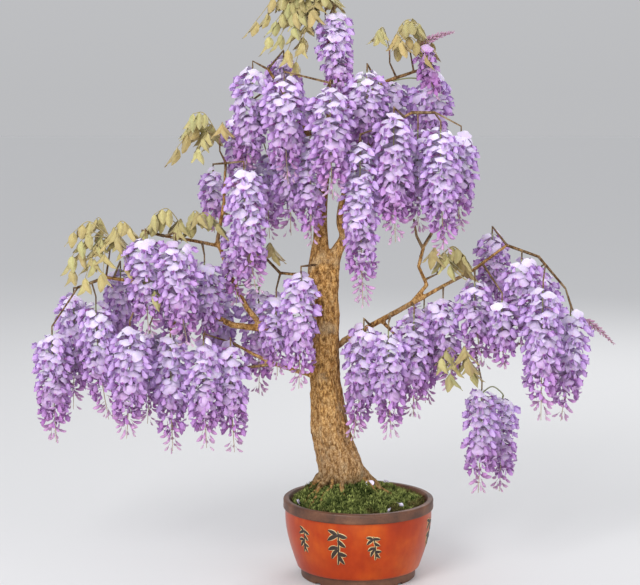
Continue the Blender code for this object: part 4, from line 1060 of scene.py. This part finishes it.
def turned_mesh(name, rows, sides, materials):
    """A profile turned round the Z axis, a little uneven as on a hand-thrown pot."""
    points = [(0, 0, rows[0][1])]
    for radius, height, _ in rows[1:-1]:
        for side in range(sides):
            angle = math.tau * side / sides
            wobble = 1 + 0.0012 * math.sin(2 * angle + 0.6) * math.sin(9 * height + 1)
            wobble = wobble + 0.0006 * math.sin(7 * angle + 40 * height)
            points.append((radius * wobble * math.cos(angle), radius * wobble * math.sin(angle), height))
    points.append((0, 0, rows[-1][1]))
    faces, marks = [], []
    rings = len(rows) - 2
    last = 1 + (rings - 1) * sides
    for side in range(sides):
        after = (side + 1) % sides
        faces.append((0, 1 + after, 1 + side))
        faces.append((len(points) - 1, last + side, last + after))
        marks += [0, 0]
    for ring in range(rings - 1):
        low = 1 + ring * sides
        for side in range(sides):
            after = (side + 1) % sides
            faces.append((low + side, low + after, low + sides + after, low + sides + side))
            marks.append(rows[ring + 2][2])
    mesh = bpy.data.meshes.new(name)
    mesh.from_pydata(points, [], faces)
    for made in materials:
        mesh.materials.append(made)
    mesh.polygons.foreach_set("material_index", marks)
    return new_object(name, mesh)


def make_pot():
    """The bowl, with drain holes and slots through its foot cut out."""
    glaze, clay = glaze_material(), clay_material()
    pot = turned_mesh("glazed_bowl", pot_rows(), POT_SIDES, [clay, glaze])
    cutter = bmesh.new()
    for index in range(DRAINS):
        turn = Matrix.Rotation(math.radians(45 + 90 * index), 4, "Z")
        bmesh.ops.create_cone(
            cutter, segments=24, radius1=0.007, radius2=0.007, depth=0.05, cap_ends=True,
            matrix=turn @ Matrix.Translation((0.055, 0, 0.006)))
        slot = turn @ Matrix.Translation((0.0885, 0, -0.003)) @ Matrix.Diagonal((0.071, 0.012, 0.014, 1))
        bmesh.ops.create_cube(cutter, size=1, matrix=slot)
    mesh = bpy.data.meshes.new("drains")
    cutter.to_mesh(mesh)
    cutter.free()
    drains = new_object("drains", mesh)
    pot.data = with_modifier(
        pot, "BOOLEAN", operation="DIFFERENCE", solver="EXACT", use_self=True, object=drains)
    bpy.data.objects.remove(drains)
    pot.data.shade_smooth()
    pot.data.set_sharp_from_angle(angle=math.radians(38))
    dress(pot, "pot")


# Bamboo sprig carved in the wall: each stroke from and to, across and up, and its width, in millimetres
SPRIG = [
    (-1.5, -31, 0.5, -11, 3.0), (0.5, -10, 1.5, 9, 2.8), (1.5, 10, 1.0, 30, 2.4),
    (1, 21, -16, 30, 5.6), (1, 22, -17, 12, 6.2), (1.2, 24, 17, 19, 6.2), (1, 14, 14, 2, 6.0),
    (0.6, 1, -17, -4, 6.4), (0.6, -2, -12, -20, 6.0), (0.4, -8, 16, -13, 6.4), (0.4, -10, 11, -29, 5.6),
]
# Sprigs on the front: degrees round the pot, height, size, and lean in degrees
SPRIG_PLACES = [(-48.6, 0.085, 0.74, -8), (-17.6, 0.080, 1.05, 0), (11.4, 0.081, 0.74, 10),
    (74, 0.086, 0.90, 6)]
INLAY = (0.035, 0.020, 0.013)
OUTLINE = (0.72, 0.55, 0.26)


def stroke(shape, turn, start, end, width, lift, tint):
    """A leaf-shaped stroke laid on the pot's wall, its edges sunk a little."""
    start, end = np.array(start), np.array(end)
    along = end - start
    side = np.array((-along[1], along[0])) / np.linalg.norm(along)
    points = []
    rows = 9
    for row in range(rows):
        v = row / (rows - 1)
        half = width / 2 * (math.sin(math.pi * min(1, 0.10 + 0.86 * v)) ** 0.7)
        centre = start + along * v - side * 0.06 * np.linalg.norm(along) * math.sin(math.pi * v)
        for u, sunk in ((-1, -0.0004), (-0.8, 0), (0, -0.00005), (0.8, 0), (1, -0.0004)):
            s, z = centre + side * half * u
            radius = body_radius(z) + lift + sunk
            angle = math.radians(turn) + s / BODY_RADIUS
            points.append((radius * math.sin(angle), -radius * math.cos(angle), z))
    shape.add(points, grid_faces(5, rows), tint)


def make_motif():
    """The carved sprigs, dark in the cut with a pale edge, on the front and again on the back."""
    made, tree, shader = material("carved motif", 0.5)
    tint = tint_of(tree)
    worn = noise_of(tree, place(tree), 330, 4.0)
    base = stained(tree, tint, 0.6, worn, 0.35, 0.6, (0.45, 0.38, 0.32))
    tree.links.new(base, shader.inputs["Base Color"])
    bump(tree, shader, worn, 0.4, 0.0005)
    shape = Shape()
    back = [(turn + 180, *rest) for turn, *rest in SPRIG_PLACES]
    for turn, height, size, lean in SPRIG_PLACES + back:
        spin = Matrix.Rotation(math.radians(lean), 2)
        for s0, z0, s1, z1, width in SPRIG:
            start = spin @ Vector((s0, z0)) * size * 0.001 + Vector((0, height))
            end = spin @ Vector((s1, z1)) * size * 0.001 + Vector((0, height))
            broad = width * 0.00115 * max(size, 0.75)
            stroke(shape, turn, start, end, broad + 0.0026, 0.00035, OUTLINE)
            stroke(shape, turn, start, end, broad, 0.00075, INLAY)
    dress(shape.build("carved_sprigs", made))


SOIL_EDGE_Z = 0.127
MOUND_RISE = 0.046
MOUND_CENTRE = (-0.024, 0.0)
MOSS_EDGE = 0.1195
# Moss colours: the moss's own dark and bright greens. The dark end is also painted shade in the gaps and at
# the blades' feet, and the bright end is also painted light on the tips and the cushion tops
MOSS_BRIGHT_AND_LIT = (0.50, 0.56, 0.17)
MOSS_DARK_AND_SHADE = (0.020, 0.042, 0.006)
MOSS_BROWN = (0.10, 0.065, 0.025)
MOSS_INNER = 0.022
MOSS_RINGS = 84
MOSS_SIDES = 190
TUFTS = 4400
TUFT_BLADES = 4
BLADE_HALF_WIDTH = 0.00072


def mound_height(x, y):
    reach = np.hypot(x - MOUND_CENTRE[0], y - MOUND_CENTRE[1]) / RIM_RADIUS
    bumps = 0.003 * np.sin(60 * x + 1) * np.sin(52 * y + 2)
    edge = np.clip((0.118 - np.hypot(x, y)) / 0.03, 0, 1)
    return SOIL_EDGE_Z + edge * (MOUND_RISE * np.exp(-2.6 * reach**2) + bumps)


def moss_lump(x, y):
    """Cushions of moss, and the finer grain on them."""
    large = noise.noise(Vector((x * 55, y * 55, 3.1)))
    small = noise.noise(Vector((x * 170, y * 170, 8.4)))
    grain = noise.noise(Vector((x * 420, y * 420, 1.7)))
    return 0.0030 * large + 0.0020 * small + 0.0008 * grain


# Moss colour from dark to bright, times a factor: low values are painted shade and high values are painted
# light, besides the moss's own tone
def moss_tint_and_light(value, shade):
    return np.clip(mix(MOSS_DARK_AND_SHADE, MOSS_BRIGHT_AND_LIT, np.clip(value, 0, 1) ** 1.3) * shade, 0, 1)


def moss_top(x, y):
    """The moss's height at a place, and how far its cushions and grain lift it there."""
    fade = min(1, max(0.15, (0.117 - math.hypot(x, y)) / 0.012))
    lump = moss_lump(x, y)
    return float(mound_height(x, y)) + 0.0058 + lump * fade, lump


def make_moss():
    """A lumpy ground of moss with tufts of bent blades, but none under the wood; its tint holds painted shade
    low down and painted light on the tips and tops.
    """
    made, tree, shader = material("moss", 0.9)
    tint = tint_of(tree)
    speckle = noise_of(tree, place(tree), 700, 4.0)
    base = stained(tree, tint, 0.7, speckle, 0.35, 0.62, (0.35, 0.38, 0.25))
    tree.links.new(base, shader.inputs["Base Color"])
    shader.inputs["Specular IOR Level"].default_value = 0.15
    bump(tree, shader, speckle, 0.8, 0.001)
    shape = Shape()
    rings, sides = MOSS_RINGS, MOSS_SIDES
    points, lumps = [], []
    for ring in range(rings):
        radius = MOSS_EDGE - (MOSS_EDGE - MOSS_INNER) * ring / (rings - 1)
        share = 1 - radius / MOSS_EDGE
        for side in range(sides):
            angle = math.tau * side / sides
            x = MOUND_CENTRE[0] * share + radius * math.cos(angle)
            y = radius * math.sin(angle)
            z, lump = moss_top(x, y)
            if ring in (0, rings - 1):
                z -= 0.006
            points.append((x, y, z))
            lumps.append(lump)
    # The ground sheet is painted darker as painted shade in the gaps between tufts, and lighter where the
    # cushions rise as painted light on their tops
    shape.add(points, ring_faces(rings, sides), moss_tint_and_light(0.22 + 120 * np.array(lumps), 0.7))
    wood = bpy.data.objects["wood"]
    draw = np.random.default_rng(SEED + 5)
    blades, shades = [], []
    while len(shades) < TUFTS * TUFT_BLADES * 5:
        x, y = draw.uniform(-MOSS_EDGE, MOSS_EDGE, 2)
        if math.hypot(x, y) > MOSS_EDGE - 0.002 or math.hypot(x - MOUND_CENTRE[0], y) < 0.024:
            continue
        z, lump = moss_top(x, y)
        found, near, normal, _ = wood.closest_point_on_mesh(Vector((x, y, z)), distance=0.02)
        if found and (Vector((x, y, z)) - near).dot(normal) < 0.0012:
            continue
        height = draw.uniform(0.0034, 0.0074)
        # Blades on higher cushions are lighter: painted light on the tops, with a random tone
        value = 0.40 + 120 * lump + draw.normal(0, 0.30)
        for _ in range(TUFT_BLADES):
            heading = draw.uniform(0, math.tau)
            way = np.array((math.cos(heading), math.sin(heading), 0))
            side = np.array((-way[1], way[0], 0)) * BLADE_HALF_WIDTH
            foot = np.array((x, y, z - 0.0012)) + way * 0.0004
            middle = foot + way * height * 0.28 + (0, 0, height * 0.75)
            tip = foot + way * height * draw.uniform(0.5, 0.95) + (0, 0, height * 1.25)
            blades += [foot - side, foot + side, middle - side * 1.1, middle + side * 1.1, tip]
            # Each blade is darker at its foot and lighter at its tip: painted shade among the tufts and
            # painted light on the tips, partly also the fresh tips' own paler green
            shades += [value - 0.45, value - 0.45, value, value, value + 0.35]
    first = np.arange(len(blades) // 5)[:, None, None] * 5
    faces = np.array([[0, 1, 3], [0, 3, 2], [2, 3, 4]])[None] + first
    blades = np.array(blades)
    dead = np.array([noise.noise(Vector((x * 32 + 5, y * 32, 0.3))) for x, y, _ in blades[::5]]).repeat(5)
    dry = np.clip((dead + 0.25 * (blades[:, 0] > 0.05) - 0.22) / 0.15, 0, 0.75)
    shape.add(blades, faces.reshape(-1, 3), mix(moss_tint_and_light(np.array(shades), 1.0), MOSS_BROWN, dry))
    dress(shape.build("moss_cushion", made), "moss")


def paint_soil():
    """Dark gritty soil on the node that fills the pot."""
    made, tree, shader = material("soil", 0.95)
    grit = noise_of(tree, place(tree), 260, 6.0, 0.65)
    base = ramp(tree, grit, [(0.35, (0.020, 0.013, 0.009)), (0.65, (0.10, 0.065, 0.040))])
    tree.links.new(base, shader.inputs["Base Color"])
    bump(tree, shader, grit, 0.8, 0.002)
    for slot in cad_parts["soil"].material_slots:
        slot.material = made


# Thin surface roots over the moss: x and y along each, and radius at its start
THIN_ROOTS = [
    ([(-0.052, -0.018), (-0.070, -0.034), (-0.078, -0.052), (-0.094, -0.066)], 0.0040),
    ([(-0.060, -0.002), (-0.082, -0.012), (-0.098, -0.008)], 0.0038),
    ([(-0.046, -0.028), (-0.050, -0.046), (-0.064, -0.058), (-0.068, -0.080)], 0.0034),
    ([(-0.030, -0.036), (-0.032, -0.052), (-0.022, -0.066)], 0.0030),
    ([(0.006, -0.020), (0.026, -0.030), (0.040, -0.046)], 0.0036),
    ([(0.012, -0.006), (0.036, -0.012), (0.060, -0.010), (0.074, -0.020)], 0.0040),
    ([(-0.058, -0.012), (-0.066, -0.026), (-0.088, -0.034), (-0.100, -0.046)], 0.0026),
    ([(-0.010, 0.036), (0.004, 0.056), (0.000, 0.074)], 0.0036),
    ([(-0.050, 0.030), (-0.066, 0.046), (-0.070, 0.068)], 0.0034),
]


def make_thin_roots():
    shape = Shape()
    for index, (rows, radius) in enumerate(THIN_ROOTS):
        path = []
        for number, (x, y) in enumerate(rows):
            share = number / (len(rows) - 1)
            lift = 0.012 if number == 0 else 0.0055 - 0.0075 * share**3
            path.append((x, y, float(mound_height(x, y)) + 0.004 + lift))
        path = smooth_path(path, 7)
        wave = np.arange(len(path)) * 1.7 + index
        path = path + np.stack([np.sin(wave), np.cos(1.3 * wave), 0.5 * np.sin(2.1 * wave)], axis=-1) * 0.0006
        radii = np.linspace(radius, radius * 0.35, len(path)) * (1 + 0.12 * np.sin(wave * 1.9))
        points, faces = tube_mesh(path, radii, 9)
        shade = 0.5 + 0.25 * np.sin(points[:, 0] * 900 + points[:, 1] * 700)
        shape.add(points, faces, mix(DARK_BARK, GOLD_BARK, shade))
    dress(shape.build("thin_roots", bpy.data.materials["furrowed bark"]))


# Petals and leaf bits lying on the moss: x, y, turn in degrees, size, and 1 for a leaf bit
FALLEN = [
    (0.021, -0.030, 20, 0.62, 0), (0.074, -0.064, 140, 0.60, 0), (0.048, -0.094, 250, 0.55, 0),
    (-0.104, -0.040, 80, 0.55, 0),
    (-0.060, 0.072, 200, 0.60, 0), (0.050, 0.058, 310, 0.58, 0), (0.086, -0.048, 30, 0.30, 1),
    (0.092, -0.036, 120, 0.26, 1),
    (-0.012, 0.090, 60, 0.28, 1),
]
FALLEN_TINT = (0.85, 0.80, 0.95)


def make_fallen():
    """Petals and dry leaf bits lying on the moss."""
    petal, leaf = Shape(), Shape()
    for x, y, turn, size, is_leaf in FALLEN:
        z = moss_top(x, y)[0] + 0.0026
        spin = Matrix.Translation((x, y, z)) @ Matrix.Rotation(math.radians(turn), 4, "Z")
        if is_leaf:
            base, tip = spin @ Vector((0, 0, 0.0008)), spin @ Vector((0.052 * size, 0, 0.0004))
            leaflet(leaf, base, tip, (0, 0, -1), 0.016 * size, BRONZE, random.Random(int(turn)))
            continue
        made = Shape()
        banner_shape(made, 0.0)
        points, faces, tints, uvs = made.arrays()
        lay = spin @ Matrix.Rotation(math.radians(-84), 4, "X") @ Matrix.Scale(size, 4)
        petal.add([tuple(lay @ Vector(point)) for point in points], faces, mix(tints, FALLEN_TINT, 0.5), uvs)
    dress(petal.build("fallen_petals", bpy.data.materials["petals"]))
    dress(leaf.build("fallen_leaves", bpy.data.materials["young leaf"]))


# The stage: each light's name, place, size and power, then the camera, the floor and the sky
LIGHTS = [
    ("key", (-1.6, -3.0, 2.6), 1.6, 86), ("fill", (2.6, -2.4, 1.4), 2.4, 26),
    ("front", (-0.3, -4.2, 0.8), 2.0, 40), ("rim", (1.0, 2.6, 2.4), 1.8, 30),
]
LIGHT_AIM = (-0.05, 0, 0.55)
CAMERA_PLACE = (-0.069, -3.0, 0.867)
CAMERA_DOWN = 6.75
LENS = 95.74
FLOOR_REACH = 30
FLOOR_TINT = (0.71, 0.71, 0.715)
HORIZON = (0.50, 0.505, 0.52)
ZENITH = (0.76, 0.77, 0.79)


def make_stage():
    made, _, shader = material("pale floor", 0.8)
    shader.inputs["Base Color"].default_value = (*FLOOR_TINT, 1)
    far = FLOOR_REACH
    mesh = bpy.data.meshes.new("floor")
    mesh.from_pydata([(-far, -far, 0), (far, -far, 0), (far, far, 0), (-far, far, 0)], [], [(0, 1, 2, 3)])
    mesh.materials.append(made)
    floor = new_object("floor", mesh)
    world = bpy.data.worlds.new("soft world")
    world.use_nodes = True
    tree = world.node_tree
    coords = tree.nodes.new("ShaderNodeTexCoord")
    split = tree.nodes.new("ShaderNodeSeparateXYZ")
    tree.links.new(coords.outputs["Generated"], split.inputs[0])
    sky = ramp(tree, split.outputs["Z"], [(0.0, HORIZON), (1.0, ZENITH)])
    tree.links.new(sky, tree.nodes["Background"].inputs["Color"])
    bpy.context.scene.world = world
    aim = Vector(LIGHT_AIM)
    for name, spot, size, power in LIGHTS:
        data = bpy.data.lights.new(name, "AREA")
        data.size = size
        data.energy = power
        lamp = new_object(name, data)
        lamp.location = spot
        lamp.rotation_euler = (aim - Vector(spot)).to_track_quat("-Z", "Y").to_euler()
    data = bpy.data.cameras.new("camera")
    data.lens = LENS
    data.sensor_width = 36
    camera = new_object("camera", data)
    camera.location = CAMERA_PLACE
    camera.rotation_euler = (math.radians(90 - CAMERA_DOWN), 0, 0)
    bpy.context.scene.camera = camera
    bpy.context.scene.view_settings.view_transform = "Standard"


make_tree()
make_twigs()
make_racemes()
make_leaf_shoots()
make_bud_spikes()
make_thin_roots()
make_moss()
make_fallen()
make_pot()
make_motif()
paint_soil()
make_stage()
